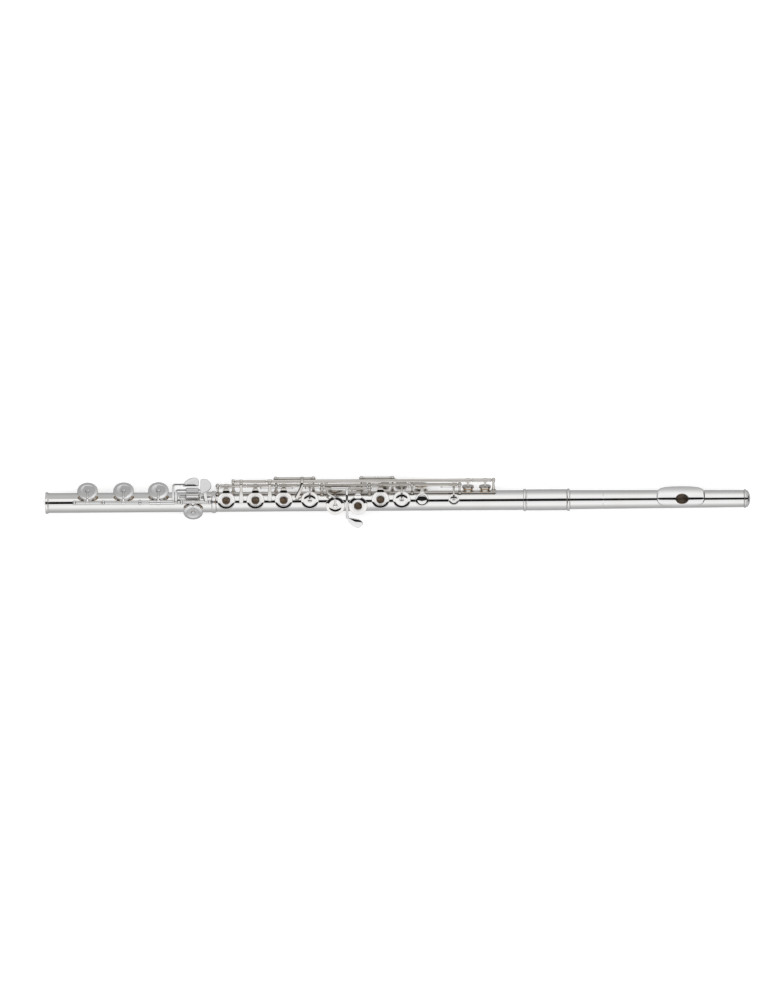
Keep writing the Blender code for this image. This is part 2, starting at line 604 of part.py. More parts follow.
def make_g_sharp_key():
    """A spoon on the far side opens a cup on the player's side of the same rod."""
    lever, spoon_low, spoon_thick = 301.5, 8.0, 1.2
    spoon = [(300.4, -15.4), (303.4, -16.4), (310.0, -17.4), (315.0, -18.6), (317.6, -21.6),
             (316.4, -25.4), (311.8, -27.5), (305.0, -23.8)]
    y, z = G_HINGE
    path = [(lever, y, z + G_SHARP_TUBE_R + 0.1, 2.6, 1.2), (lever, 8.6, 16.9, 2.4, 1.2),
            (lever, 0.0, 17.2, 2.2, 1.2), (lever, -9.0, 14.4, 2.2, 1.2), (lever + 0.3, -16.6, 8.7, 2.6, 1.2)]
    cup_branch = [(289.5, y + 0.1, z - G_SHARP_TUBE_R + 0.1, 3.4, 1.2), (289.5, 12.6, 8.4, 3.2, 1.2),
                  (289.5, 14.35, 6.8, 3.0, 1.2)]
    key("g_sharp_key", G_HINGE, HOLES["g_sharp"][0], [
        pipe(286.0, 303.0, G_SHARP_TUBE_R, G_SHARP_TUBE_BORE, ROD_SIDES, G_HINGE),
        cup_shape("g_sharp", BODY_RIM, G_HINGE, CLOSED), strip(cup_branch), strip(path),
        prism([(at(station), across) for station, across in spoon], spoon_low, spoon_low + spoon_thick)])
    make_pad("g_sharp", BODY_RIM, G_HINGE, CLOSED)


def make_trill_keys():
    """Two trill keys turn on one line: the D tube outside, the D sharp rod inside it."""
    y, z = TRILL_HINGE
    for name, touch, front, solid in (
        ("d_trill", 224.5, 1.5, [key_tube(221.6, 425.4, TRILL_HINGE)]),
        ("d_sharp_trill", 196.0, -0.5, [bar(TRILL_POSTS[0] - 1.2, TRILL_POSTS[1] + 1.2, STEEL_R, ROD_SIDES,
                                            TRILL_HINGE),
                                        bar(190.2, 221.0, KEY_TUBE_R, ROD_SIDES, TRILL_HINGE),
                                        bar(426.0, 445.8, KEY_TUBE_R, ROD_SIDES, TRILL_HINGE)]),
    ):
        lever = strip([(touch, y - 1.0, z + KEY_TUBE_R - 0.4, 3.0, 1.2), (touch, y - 3.6, z + 2.6, 3.0, 1.2),
                       (touch, front + 10, z + 2.6, 3.2, 1.2), (touch, front + 7, z + 1.9, 4.0, 1.2),
                       (touch, front, z + 1.8, 4.0, 1.2)])
        key(f"{name}_key", TRILL_HINGE, HOLES[name][0], [
            *solid, cup_shape(name, BODY_RIM, TRILL_HINGE, CLOSED),
            hole_arm(name, BODY_RIM, TRILL_HINGE, CLOSED), lever])
        make_pad(name, BODY_RIM, TRILL_HINGE, CLOSED)


def make_side_lever():
    y, z = SIDE_HINGE
    touch = [(256.8, y + 0.7, z + 1.2, 3.0, 1.2), (256.8, y + 0.9, z + 4.0, 3.0, 1.2),
             (256.8, y - 0.8, z + 7.2, 3.0, 1.2), (256.8, 18.6, 16.6, 3.0, 1.2),
             (256.4, 14.4, 16.4, 3.2, 1.2), (251.0, 3.4, 15.6, 4.0, 1.2)]
    key("side_b_flat_lever", SIDE_HINGE, 256.8, [key_tube(232.4, 266.1, SIDE_HINGE), strip(touch)])


def make_thumb_keys():
    """The thumb's key with its cup, and the B flat lever beside it on the same steel."""
    y, z = SIDE_HINGE
    arm = swung_strip([(341.6, 21.8, 2.8, 3.0, 1.2), (347.0, 20.8, 2.0, 3.0, 1.2),
                       (355.0, 18.6, 0.6, 3.0, 1.2), (367.0, 16.4, -0.3, 3.0, 1.2),
                       (375.5, 15.5, -0.5, 2.4, 1.2)], SIDE_HINGE, THUMB_OPEN, across=(0, 0, 1))
    drop = swung_strip([(342.8, y, z - KEY_TUBE_R + 0.2, 3.0, 1.2), (342.8, 21.6, 2.2, 3.0, 1.2)],
                       SIDE_HINGE, THUMB_OPEN)

    def touch(station, width):
        return strip([(station, 20.4, -1.6, width * 0.4, 1.2), (station, 18.4, -5.2, width * 0.8, 1.1),
                      (station, 15.2, -8.6, width, 1.1), (station, 11.6, -10.3, width * 0.7, 1.1)])

    key("thumb_key", SIDE_HINGE, HOLES["thumb"][0], [
        key_tube(331.2, 345.2, SIDE_HINGE), cup_shape("thumb", BODY_RIM, SIDE_HINGE, THUMB_OPEN),
        drop, arm, touch(356.0, 13.0)])
    make_pad("thumb", BODY_RIM, SIDE_HINGE, THUMB_OPEN)
    lever = strip([(325.5, y, z - KEY_TUBE_R + 0.2, 3.0, 1.2), (325.5, 22.4, 4.0, 3.0, 1.2),
                   (333.0, 21.4, 0.6, 3.0, 1.2), (340.0, 20.2, -2.4, 3.0, 1.2)], across=(1, 0, 1))
    key("thumb_b_flat_lever", SIDE_HINGE, 324.0, [key_tube(317.8, 330.6, SIDE_HINGE), lever,
                                                  touch(339.6, 10.0)])


# ---------------------------------------------------------------- foot keys
LEVER_Z = 16.9
PLATE_START, PLATE_STOP = 137.6, 153.6
ROLLER_R, ROLLER_BORE = 2.35, 1.15


def low_cup(name, tubes, hub):
    """The tube, cup and arm of one of the three low keys."""
    return [*tubes, cup_shape(name, FOOT_RIM, FOOT_HINGE, FOOT_OPEN),
            hole_arm(name, FOOT_RIM, FOOT_HINGE, FOOT_OPEN, hub=hub)]


def lever_rail(root, hub, reach):
    """A flat rail from the hinge out to a reach, then along the tube to the little finger's plates."""
    return [strip([(root, hub - 0.2, LEVER_Z, 1.6, 1.4), (root, reach + 0.7, LEVER_Z, 1.6, 1.4)]),
            strip([(root - 0.8, reach, LEVER_Z, 1.4, 1.2), (PLATE_START + 2.4, reach, LEVER_Z, 1.4, 1.2)],
                  across=(0, 1, 0))]


def roller_cradle(reach):
    """Two ears, the axle between them and the bar under the roller."""
    low, left, right = LEVER_Z - 3.5, PLATE_START + 2.2, PLATE_STOP + 0.9
    ears = [strip([(ear, reach, LEVER_Z + 0.6, 0.9, 2.0), (ear, reach, low - 0.4, 0.9, 2.0)])
            for ear in (left, right)]
    return [*ears, strip([(left, reach, low, 1.6, 0.7), (right, reach, low, 1.6, 0.7)], across=(0, 1, 0)),
            bar(left - 0.2, right + 0.2, 0.8, ROD_SIDES, (reach, LEVER_Z))]


def make_low_keys():
    low_b_reach, low_c_reach, spade_reach = 6.4, 12.0, 17.6
    posts = FOOT_POSTS
    key("low_b_key", FOOT_HINGE, HOLES["low_b"][0], [
        *low_cup("low_b", [bar(posts[0] - 1.4, posts[3] - 0.3, STEEL_R, ROD_SIDES, FOOT_HINGE),
                           bar(posts[0] + 1.6, posts[1] - 1.6, KEY_TUBE_R, ROD_SIDES, FOOT_HINGE),
                           bar(132.6, 134.9, KEY_TUBE_R, ROD_SIDES, FOOT_HINGE)], KEY_TUBE_R),
        *lever_rail(133.8, KEY_TUBE_R, low_b_reach), *roller_cradle(low_b_reach)])
    key("low_c_key", FOOT_HINGE, HOLES["low_c"][0], [
        *low_cup("low_c", [pipe(posts[1] + 1.6, 132.0, LOW_C_TUBE_R, LOW_C_TUBE_BORE, ROD_SIDES,
                                FOOT_HINGE)], LOW_C_TUBE_R),
        *lever_rail(131.0, LOW_C_TUBE_R, low_c_reach), *roller_cradle(low_c_reach)])
    spade = [(PLATE_START, 15.6), (PLATE_START, 17.4), (140.2, 21.0), (144.4, 23.8), (149.0, 24.9),
             (152.4, 24.2), (PLATE_STOP, 22.2), (PLATE_STOP, 15.6)]
    key("low_c_sharp_key", FOOT_HINGE, HOLES["low_c_sharp"][0], [
        *low_cup("low_c_sharp", [pipe(104.5, 129.4, LOW_C_SHARP_TUBE_R, LOW_C_SHARP_TUBE_BORE, ROD_SIDES,
                                      FOOT_HINGE)], LOW_C_SHARP_TUBE_R),
        *lever_rail(128.2, LOW_C_SHARP_TUBE_R, spade_reach),
        prism([(at(station), across) for station, across in spade], LEVER_Z - 0.6, LEVER_Z + 0.6)])
    for name in ("low_b", "low_c", "low_c_sharp"):
        make_pad(name, FOOT_RIM, FOOT_HINGE, FOOT_OPEN)
    for name, reach in (("low_b", low_b_reach), ("low_c", low_c_reach)):
        hinge = (reach, LEVER_Z)
        part(f"{name}_roller", "silver", pipe(PLATE_START + 3.1, PLATE_STOP, ROLLER_R, ROLLER_BORE,
                                              CUP_SIDES, hinge), (PLATE_STOP - 6.5, *hinge))


def make_d_sharp_key():
    touch = [(155.4, 7.6), (155.4, 22.4), (157.6, 23.7), (162.0, 23.3), (165.6, 19.6), (166.4, 15.2),
             (164.4, 11.4), (160.2, 9.0)]
    lever = strip([(160.6, KEY_TUBE_R - 0.2, LEVER_Z, 3.4, 1.0), (159.4, 10.6, LEVER_Z, 4.4, 1.0)])
    plate = prism([(at(station), across) for station, across in touch], LEVER_Z - 0.6, LEVER_Z + 0.6)
    make_cup_key("d_sharp", FOOT_RIM, FOOT_HINGE, CLOSED,
                 key_tube(FOOT_POSTS[3] + 1.5, FOOT_POSTS[4] - 1.5, FOOT_HINGE), extra=(lever, plate))


def build():
    for item in list(bpy.data.objects):
        bpy.data.objects.remove(item)
    make_foot_tube()
    make_body_tube()
    make_barrel()
    make_head()
    make_crown_and_stopper()
    make_body_posts()
    make_foot_posts()
    make_steels()
    make_main_line_keys()
    make_connecting_tube()
    make_c_key()
    make_g_keys()
    make_g_sharp_key()
    make_trill_keys()
    make_side_lever()
    make_thumb_keys()
    make_low_keys()
    make_d_sharp_key()


build()
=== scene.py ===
"""Looks of a silver concert flute that lies on a pale table, seen from straight above.

Shapes are drawn in millimetres: X along the tube from its middle, Y and Z from the tube's axis.
A station is a distance along the tube from the open end of the foot. An angle round the tube is in
degrees from the top (+Z) towards the player (+Y). piece() turns a shape into the frame's metres.
"""

import json
from collections import namedtuple
from math import cos, pi, radians, sin, sqrt

import bpy
import bmesh
import numpy as np
from mathutils import Matrix, Vector
from numpy.linalg import norm

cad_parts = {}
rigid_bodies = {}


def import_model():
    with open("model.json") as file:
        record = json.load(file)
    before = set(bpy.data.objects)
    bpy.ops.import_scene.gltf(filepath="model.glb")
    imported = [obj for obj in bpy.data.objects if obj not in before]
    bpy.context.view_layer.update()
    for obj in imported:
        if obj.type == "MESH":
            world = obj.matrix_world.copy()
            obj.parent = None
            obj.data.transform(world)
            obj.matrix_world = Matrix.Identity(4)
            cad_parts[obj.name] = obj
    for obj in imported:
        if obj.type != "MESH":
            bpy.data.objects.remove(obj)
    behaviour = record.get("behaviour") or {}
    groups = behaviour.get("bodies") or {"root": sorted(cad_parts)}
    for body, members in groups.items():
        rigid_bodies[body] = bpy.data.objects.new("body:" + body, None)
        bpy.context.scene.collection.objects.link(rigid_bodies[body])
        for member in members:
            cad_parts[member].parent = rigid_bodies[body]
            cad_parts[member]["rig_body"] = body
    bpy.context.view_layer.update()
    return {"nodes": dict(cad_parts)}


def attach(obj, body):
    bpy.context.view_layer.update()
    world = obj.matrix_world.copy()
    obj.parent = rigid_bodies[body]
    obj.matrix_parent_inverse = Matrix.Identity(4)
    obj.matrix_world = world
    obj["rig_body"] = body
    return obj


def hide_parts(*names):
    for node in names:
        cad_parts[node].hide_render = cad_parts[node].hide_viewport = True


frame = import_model()

MM = 0.001
LENGTH = 704.8
AXIS_Y, AXIS_Z = 1.3, 11.2
TO_FRAME = Matrix.Scale(MM, 4) @ Matrix.Translation((0, AXIS_Y, AXIS_Z))

# ---- sizes shared with the CAD part (mm)
TUBE_R, WALL = 9.9, 0.5
BORE_R = TUBE_R - WALL
CLEAR = 0.3
PAD_LIFT, PAD_TOP = 0.2, 2.4
FOOT_END, TENON_LENGTH = 170.5, 15.0
BODY_START, BODY_END = FOOT_END + CLEAR, 481.6
BARREL_START, BARREL_END = 477.9, 524.1
HEAD_START, HEAD_END = 484.0, 698.2
HEAD_R, HEAD_END_R = 9.5, 8.55
RING_R = 11.2
BODY_RIM, FOOT_RIM = 11.9, 12.2
CHIMNEY_WALL = 0.7
CUP_HEIGHT, CUP_SKIRT, CUP_WALL, CUP_CEILING = 3.6, 1.2, 0.5, 2.7
FINGER_HOLE_R = 3.8
MAIN_HINGE = (15.9, 9.5)
G_HINGE = (12.4, 11.9)
TRILL_HINGE = (20.1, 13.0)
SIDE_HINGE = (22.6, 8.6)
FOOT_HINGE = (0.0, 16.5)
KEY_TUBE_R, KEY_TUBE_BORE = 1.65, 1.25
STEEL_R, G_STEEL_R = 0.85, 0.7
LOW_C_TUBE_R, LOW_C_TUBE_BORE = 1.6, 1.15
LOW_C_SHARP_TUBE_R, LOW_C_SHARP_TUBE_BORE = 2.4, 1.95
G_TUBE_R, G_TUBE_BORE = 1.4, 1.05
G_SHARP_TUBE_R, G_SHARP_TUBE_BORE = 2.1, 1.72
POST_HOLE_R, POST_WIDTH, SCREW_R = 1.2, 3.2, 1.05
MAIN_OPEN, G_OPEN, FOOT_OPEN, THUMB_OPEN, CLOSED = -10.0, -9.5, 10.0, 12.0, 0.0
# A tone hole: where it is and its radius; its cup's radius, hinge and swing at rest; its rim's height.
Hole = namedtuple("Hole", "station angle radius cup hinge swing rim")
BODY_HOLES = {name: Hole(*row, BODY_RIM) for name, *row in (
    ("d", 181.0, 0.0, 6.9, 8.9, MAIN_HINGE, MAIN_OPEN),
    ("e", 210.2, 0.0, 6.9, 8.9, MAIN_HINGE, MAIN_OPEN),
    ("f", 238.4, 0.0, 6.9, 8.9, MAIN_HINGE, MAIN_OPEN),
    ("f_sharp", 264.5, 0.0, 6.9, 8.9, MAIN_HINGE, MAIN_OPEN),
    ("g_lower", 289.8, -21.0, 6.9, 9.4, G_HINGE, G_OPEN),
    ("g_upper", 312.5, -21.0, 6.9, 9.3, G_HINGE, G_OPEN),
    ("g_sharp", 289.5, 98.0, 6.6, 8.9, G_HINGE, CLOSED),
    ("a", 335.0, 0.0, 6.9, 8.9, MAIN_HINGE, MAIN_OPEN),
    ("b_flat", 356.2, 0.0, 6.9, 8.9, MAIN_HINGE, MAIN_OPEN),
    ("thumb", 375.5, 92.0, 5.8, 7.4, SIDE_HINGE, THUMB_OPEN),
    ("c_sharp", 408.2, 0.0, 3.3, 5.5, MAIN_HINGE, MAIN_OPEN),
    ("d_trill", 422.5, 75.0, 3.9, 6.0, TRILL_HINGE, CLOSED),
    ("d_sharp_trill", 439.5, 75.0, 3.9, 6.0, TRILL_HINGE, CLOSED),
)}
FOOT_HOLES = {name: Hole(*row, FOOT_HINGE, swing, FOOT_RIM) for name, *row, swing in (
    ("low_b", 42.5, 47.0, 7.4, 10.4, FOOT_OPEN),
    ("low_c", 78.5, 47.0, 7.4, 10.4, FOOT_OPEN),
    ("low_c_sharp", 113.3, 47.0, 7.4, 10.4, FOOT_OPEN),
    ("d_sharp", 147.8, -44.0, 6.9, 9.8, CLOSED),
)}
HOLES = BODY_HOLES | FOOT_HOLES
MAIN_POSTS = (172.5, 231.0, 276.5, 324.0, 366.5, 414.0)
G_POSTS = (276.5, 324.0)
TRILL_POSTS = (188.0, 448.0)
SIDE_POSTS = (230.5, 268.0, 316.0, 347.0)
FOOT_POSTS = (29.5, 58.3, 94.9, 136.5, 164.5)
EMBOUCHURE, EMBOUCHURE_LENGTH, EMBOUCHURE_WIDTH = 636.2, 12.2, 10.8
PLATE_LENGTH, PLATE_FRONT, PLATE_BACK = 48.0, -58.0, 72.0
PLATE_MIDDLE = EMBOUCHURE - 1.2
LEVER_Z = 16.9
# The little finger's and the ring finger's plates slope down towards their outer edges.
PLATE_LEAN, SPOON_LEAN = -9.0, 9.0
PLATE_START, PLATE_STOP = 137.6, 153.6
ROLLER_R, ROLLER_BORE = 2.35, 1.15

# How finely round things are drawn.
PLATE_SIDES, TUBE_SIDES, CUP_SIDES, ROD_SIDES, ARM_SIDES = 160, 128, 72, 32, 16


# ---- shapes: (points, faces), in millimetres
def at(station):
    return station - LENGTH / 2


def full_turn(sides):
    return np.arange(sides) * 2 * pi / sides


def squared(value, power):
    """A sine or cosine raised to a power with its sign kept: below 1 it makes a circle squarer."""
    return (1 if value >= 0 else -1) * abs(value) ** power


def moved(shape, matrix):
    points, faces = shape
    return points @ np.array(matrix.to_3x3()).T + np.array(matrix.translation), faces


def joined(shapes):
    points, faces, count = [], [], 0
    for places, loops in shapes:
        points.append(places)
        faces += [tuple(index + count for index in loop) for loop in loops]
        count += len(places)
    return np.vstack(points), faces


def skin(rows, loop=False, capped=False):
    """A surface through rings of points, facing outwards. A loop joins the last ring to the first."""
    rows = np.array(rows, float)
    count, sides = rows.shape[:2]
    index = np.arange(count * sides).reshape(count, sides)
    first, second = (index, np.roll(index, -1, axis=0)) if loop else (index[:-1], index[1:])
    quads = np.stack((first, np.roll(first, -1, axis=1), np.roll(second, -1, axis=1), second), axis=-1)
    quads = quads.reshape(-1, 4)
    points = rows.reshape(-1, 3)
    a, b, c, d = (points[quads[:, corner]] - points.mean(axis=0) for corner in range(4))
    volume = np.einsum("ij,ij->", a, np.cross(b, c)) + np.einsum("ij,ij->", a, np.cross(c, d))
    faces = quads.tolist()
    if capped:
        faces += [index[0][::-1].tolist(), index[-1].tolist()]
    return points, faces if volume > 0 else [face[::-1] for face in faces]


def eased(points, soft, closed=False, steps=3):
    """The points, with a short curve at each corner. Only a point's first three numbers are its place."""
    points = [np.array(point, float) for point in points]
    curve = []
    for index, corner in enumerate(points):
        if not closed and index in (0, len(points) - 1):
            curve.append(corner)
            continue
        ways = points[index - 1] - corner, points[(index + 1) % len(points)] - corner
        start, end = (corner + way * min(soft / max(norm(way[:3]), 1e-6), 0.45) for way in ways)
        curve += [start * (1 - t) ** 2 + corner * 2 * t * (1 - t) + end * t * t
                  for t in np.linspace(0, 1, steps + 1)]
    return curve


def turned(outline, place=None, sides=CUP_SIDES, soft=0.18):
    """An outline of (radius, height) turned about Z. A closed outline starts and ends off the axis."""
    loop = outline[0][0] > 0
    rows = [[(radius * cos(t), radius * sin(t), height) for t in full_turn(sides)]
            for radius, height in eased(outline, soft, closed=loop)]
    shape = skin(rows, loop=loop)
    return moved(shape, place) if place is not None else shape


def along_tube(outline, hinge=(0.0, 0.0), sides=ROD_SIDES, soft=0.18):
    """An outline of (radius, station) turned about a line parallel to the tube."""
    lie_down = Matrix.Translation((0, *hinge)) @ Matrix.Rotation(pi / 2, 4, "Y")
    return turned([(radius, at(station)) for radius, station in outline], lie_down, sides, soft)


def pipe(start, end, outer, inner, hinge=(0.0, 0.0), sides=ROD_SIDES, soft=0.12):
    return along_tube(both_ends([(inner, 0), (outer, 0)], start, end), hinge, sides, soft)


def bar(start, end, radius, hinge=(0.0, 0.0)):
    return pipe(start, end, radius, 0, hinge)


def both_ends(half, start, end):
    """An outline that is the same from both ends, given as (radius, distance from the end)."""
    return ([(radius, start + distance) for radius, distance in half]
            + [(radius, end - distance) for radius, distance in half[::-1]])


def strip(path, across=(1, 0, 0), soft=4.0, square=0.62, sides=ARM_SIDES):
    """A smooth bar through points of (station, y, z, width, thickness), with rounded edges and ends."""
    curve = eased(path, soft, steps=6)
    places = [np.array((at(point[0]), point[1], point[2])) for point in curve]
    turns = (np.arange(sides) + 0.5) * 2 * pi / sides
    section = [(squared(cos(t), square), squared(sin(t), square)) for t in turns]
    rows = []
    for index, (place, point) in enumerate(zip(places, curve)):
        ahead = places[min(index + 1, len(places) - 1)] - places[max(index - 1, 0)]
        ahead /= norm(ahead)
        side = np.array(across, float)
        side -= ahead * ahead.dot(side)
        side /= norm(side)
        top = np.cross(side, ahead)
        for turn in {0: (-85, -60, -30, 0), len(places) - 1: (0, 30, 60, 85)}.get(index, (0,)):
            scale, middle = cos(radians(turn)), place + ahead * sin(radians(turn)) * point[4] / 2
            rows.append([middle + side * x * scale * point[3] / 2 + top * y * scale * point[4] / 2
                         for x, y in section])
    return skin(rows, capped=True)


def blade(outline, low, high, **shape):
    """A plate whose outline is given in stations and Y."""
    return plate([(at(station), y) for station, y in outline], low, high, **shape)


def plate(outline, low, high, dome=0.35, soft=3.0, place=None):
    """A flat outline in X and Y, raised from low to high, with rounded edges and a gently domed top."""
    rim = np.array(eased(outline, soft, closed=True, steps=5))
    inward = rim.mean(axis=0) - rim
    reach = norm(inward, axis=1, keepdims=True)
    edge = (high - low) / 2
    levels = [(0.0, 1.0, low), (edge, 0.0, low), (edge * 0.3, 0.0, low + edge * 0.3), (0.0, 0.0, low + edge),
              (edge * 0.3, 0.0, high - edge * 0.3), (edge, 0.0, high), (edge, 0.12, high + dome * 0.2),
              (edge, 0.35, high + dome * 0.55), (edge, 0.65, high + dome * 0.9), (0.0, 1.0, high + dome)]
    rows = [[(*spot, height) for spot in rim + inward * np.minimum(depth / reach + share, 1.0)]
            for depth, share, height in levels]
    shape = skin(rows)
    return moved(shape, place) if place is not None else shape


def arc_plate(start, end, first_angle, last_angle, inner, outer, steps=10):
    """A strap that follows the tube's surface between two stations and two angles."""
    angles = np.linspace(first_angle, last_angle, steps + 1)
    rim = [polar(angle, outer) for angle in angles] + [polar(angle, inner) for angle in angles[::-1]]
    rim = eased(rim, 0.25, closed=True, steps=2)
    middle = np.array(polar((first_angle + last_angle) / 2, (inner + outer) / 2))
    rows = []
    for station, inset in ((start, 0.06), (start + 0.25, 0.0), (end - 0.25, 0.0), (end, 0.06)):
        rows.append([(at(station), *(spot + (middle - spot) * inset)) for spot in rim])
    return skin(rows, capped=True)


# ---- places
def spin(angle):
    """A turn about the tube's direction, in degrees."""
    return Matrix.Rotation(radians(angle), 4, "X")


def polar(angle, radius):
    """(y, z) at an angle round the tube."""
    return radius * sin(radians(angle)), radius * cos(radians(angle))


def seat(name, height):
    """A place over the middle of a tone hole, with Z pointing away from the tube."""
    hole = HOLES[name]
    return (Matrix.Translation((at(hole.station), 0, 0)) @ spin(-hole.angle)
            @ Matrix.Translation((0, 0, height)))


def swung(hinge, angle):
    centre = Vector((0, *hinge))
    return Matrix.Translation(centre) @ spin(angle) @ Matrix.Translation(-centre)


def cup_place(name):
    """The middle of a cup's pad face, as the cup stands at rest."""
    hole = HOLES[name]
    return swung(hole.hinge, hole.swing) @ seat(name, hole.rim)


# ---- materials
class Nodes:
    """Short ways to add nodes to a tree."""

    def __init__(self, tree):
        self.tree = tree

    def feed(self, node, values):
        """Gives a node's inputs their values: a socket is linked, anything else is set."""
        for key, value in values.items():
            if isinstance(value, bpy.types.NodeSocket):
                self.tree.links.new(value, node.inputs[key])
            else:
                node.inputs[key].default_value = value
        return node

    def add(self, kind, values, **settings):
        node = self.tree.nodes.new(kind)
        for key, value in settings.items():
            setattr(node, key, value)
        return self.feed(node, values)

    def mapped(self, value, low, high, to_low, to_high):
        return self.add("ShaderNodeMapRange", {"Value": value, "From Min": low, "From Max": high,
                                               "To Min": to_low, "To Max": to_high}).outputs["Result"]

    def mixed(self, factor, first, second):
        return self.add("ShaderNodeMix", {0: factor, 6: first, 7: second}, data_type="RGBA").outputs[2]

    def vector(self, operation, first, second):
        return self.add("ShaderNodeVectorMath", {0: first, 1: second}, operation=operation).outputs


class Look(Nodes):
    """A procedural material."""

    def __init__(self, name, **values):
        self.made = bpy.data.materials.new(name)
        self.made.use_nodes = True
        super().__init__(self.made.node_tree)
        self.place = self.add("ShaderNodeTexCoord", {}).outputs["Object"]
        self.shade({key.replace("_", " "): value for key, value in values.items()})

    def shade(self, values):
        self.feed(self.tree.nodes["Principled BSDF"], values)

    def noise(self, scale, stretch=(1, 1, 1), detail=4.0, roughness=0.55):
        spread = self.add("ShaderNodeMapping", {"Vector": self.place, "Scale": stretch})
        return self.add("ShaderNodeTexNoise", {"Vector": spread.outputs["Vector"], "Scale": scale,
                                               "Detail": detail, "Roughness": roughness}).outputs["Fac"]

    def bumped(self, height, strength, distance):
        bump = self.add("ShaderNodeBump", {"Height": height, "Strength": strength, "Distance": distance})
        self.shade({"Normal": bump.outputs["Normal"]})


# Painted shade: the keys' silver is drawn darker from the first to the second place, towards the player and
# downwards (m).
SHADE_BEHIND, SHADE_BELOW = (0.0075, 0.0120), (0.0245, 0.0225)
# Painted shade in corners and crevices: how far the occlusion looks (m), and the dark brown painted there.
CORNER_REACH, CORNER_SHADE = 0.0018, (0.24, 0.21, 0.18, 1)
BORE_BROWN, BORE_ROUGH = (0.80, 0.71, 0.61, 1), 0.42


def silver_look(name, bright, warm, low_rough, high_rough, bore=False, painted_shade=None):
    """Polished silver with faint wiping marks and uneven tarnish, with painted shade in its corners and, for
    the keys, painted shade towards the player and downwards; a bore is browner.
    """
    look = Look(name, Metallic=1.0)
    patches = look.mapped(look.noise(38.0, detail=5.0), 0.48, 0.75, 0.0, 1.0)
    colour = look.mixed(patches, bright, warm)
    if painted_shade or bore:
        spot = look.add("ShaderNodeNewGeometry", {}).outputs
    # Painted shade: key silver drawn darker towards the player and downwards, by world place.
    if painted_shade:
        place = look.add("ShaderNodeSeparateXYZ", {0: spot["Position"]}).outputs
        behind = look.mapped(place["Y"], *SHADE_BEHIND, 0.0, 1.0)
        below = look.mapped(place["Z"], *SHADE_BELOW, 0.0, 1.0)
        away = look.add("ShaderNodeMath", {0: behind, 1: below}, operation="MAXIMUM").outputs[0]
        colour = look.mixed(away, colour, painted_shade)
    # Painted shade: ambient occlusion darkens corners and crevices towards a dark brown.
    corner = look.add("ShaderNodeAmbientOcclusion", {"Distance": CORNER_REACH}, samples=6).outputs["AO"]
    colour = look.mixed(look.mapped(corner, 0.30, 0.80, 1.0, 0.0), colour, CORNER_SHADE)
    rough = look.mapped(look.noise(90.0), 0.35, 0.7, low_rough, high_rough)
    if bore:
        # Faces that look at the tube's axis are inside it.
        out = look.vector("SUBTRACT", spot["Position"], (0, AXIS_Y * MM, AXIS_Z * MM))["Vector"]
        out = look.vector("MULTIPLY", out, (0, 1, 1))["Vector"]
        facing = look.vector("DOT_PRODUCT", spot["Normal"], out)["Value"]
        inside = look.mapped(facing, -0.004, -0.007, 0.0, 1.0)
        colour = look.mixed(inside, colour, BORE_BROWN)
        rough = look.add("ShaderNodeMix", {0: inside, 2: rough, 3: BORE_ROUGH}, data_type="FLOAT").outputs[0]
    look.shade({"Base Color": colour, "Roughness": rough})
    look.bumped(look.noise(900.0, stretch=(0.25, 1, 1), detail=6.0), 0.10, 0.00001)
    return look.made


def steel_look():
    look = Look("oiled_steel", Metallic=1.0)
    grain = look.noise(1500.0, stretch=(0.08, 1, 1))
    look.shade({"Base Color": look.mixed(grain, (0.47, 0.48, 0.50, 1), (0.62, 0.63, 0.65, 1)),
                "Roughness": look.mapped(grain, 0.3, 0.7, 0.18, 0.32)})
    look.bumped(grain, 0.2, 0.00002)
    return look.made


def skin_look():
    look = Look("bladder_skin")
    blotches = look.mapped(look.noise(160.0, detail=6.0), 0.35, 0.7, 0.0, 1.0)
    look.shade({"Base Color": look.mixed(blotches, (0.66, 0.47, 0.26, 1), (0.46, 0.28, 0.13, 1)),
                "Roughness": look.mapped(look.noise(400.0), 0.3, 0.7, 0.38, 0.6)})
    look.bumped(look.noise(1400.0, detail=6.0), 0.5, 0.00006)
    return look.made


def cork_look():
    look = Look("natural_cork")
    pores = look.mapped(look.noise(900.0, detail=5.0), 0.52, 0.66, 0.0, 1.0)
    look.shade({"Base Color": look.mixed(pores, (0.60, 0.41, 0.24, 1), (0.22, 0.12, 0.06, 1)),
                "Roughness": look.mapped(pores, 0.0, 1.0, 0.8, 0.95)})
    look.bumped(pores, 0.6, 0.0001)
    return look.made


TUBE_SILVER, TUBE_TARNISH = (0.93, 0.925, 0.915, 1), (0.90, 0.89, 0.87, 1)
LOOKS = {
    "tube": ("silver", silver_look("tube_silver", TUBE_SILVER, TUBE_TARNISH, 0.02, 0.045, bore=True)),
    # The key looks paint shade onto their silver, darker towards the player and downwards.
    "key": ("silver", silver_look("key_silver", (0.93, 0.92, 0.907, 1), (0.88, 0.855, 0.82, 1), 0.03, 0.07,
                                  painted_shade=(0.74, 0.71, 0.67, 1))),
    "foot_key": ("silver", silver_look("foot_silver", (0.93, 0.925, 0.92, 1), (0.86, 0.85, 0.84, 1), 0.03, 0.07,
                                       painted_shade=(0.74, 0.735, 0.735, 1))),
    "plate": ("silver", silver_look("plate_silver", (0.93, 0.925, 0.92, 1), TUBE_TARNISH, 0.02, 0.045)),
    # The blowing hole's walls are drawn in a dark brown, rougher silver.
    "riser": ("silver", silver_look("dark_brown_silver", (0.50, 0.40, 0.32, 1), (0.30, 0.21, 0.15, 1), 0.22, 0.38)),
    "steel": ("steel", steel_look()),
    "skin": ("pad_skin", skin_look()),
    "cork": ("cork", cork_look()),
}


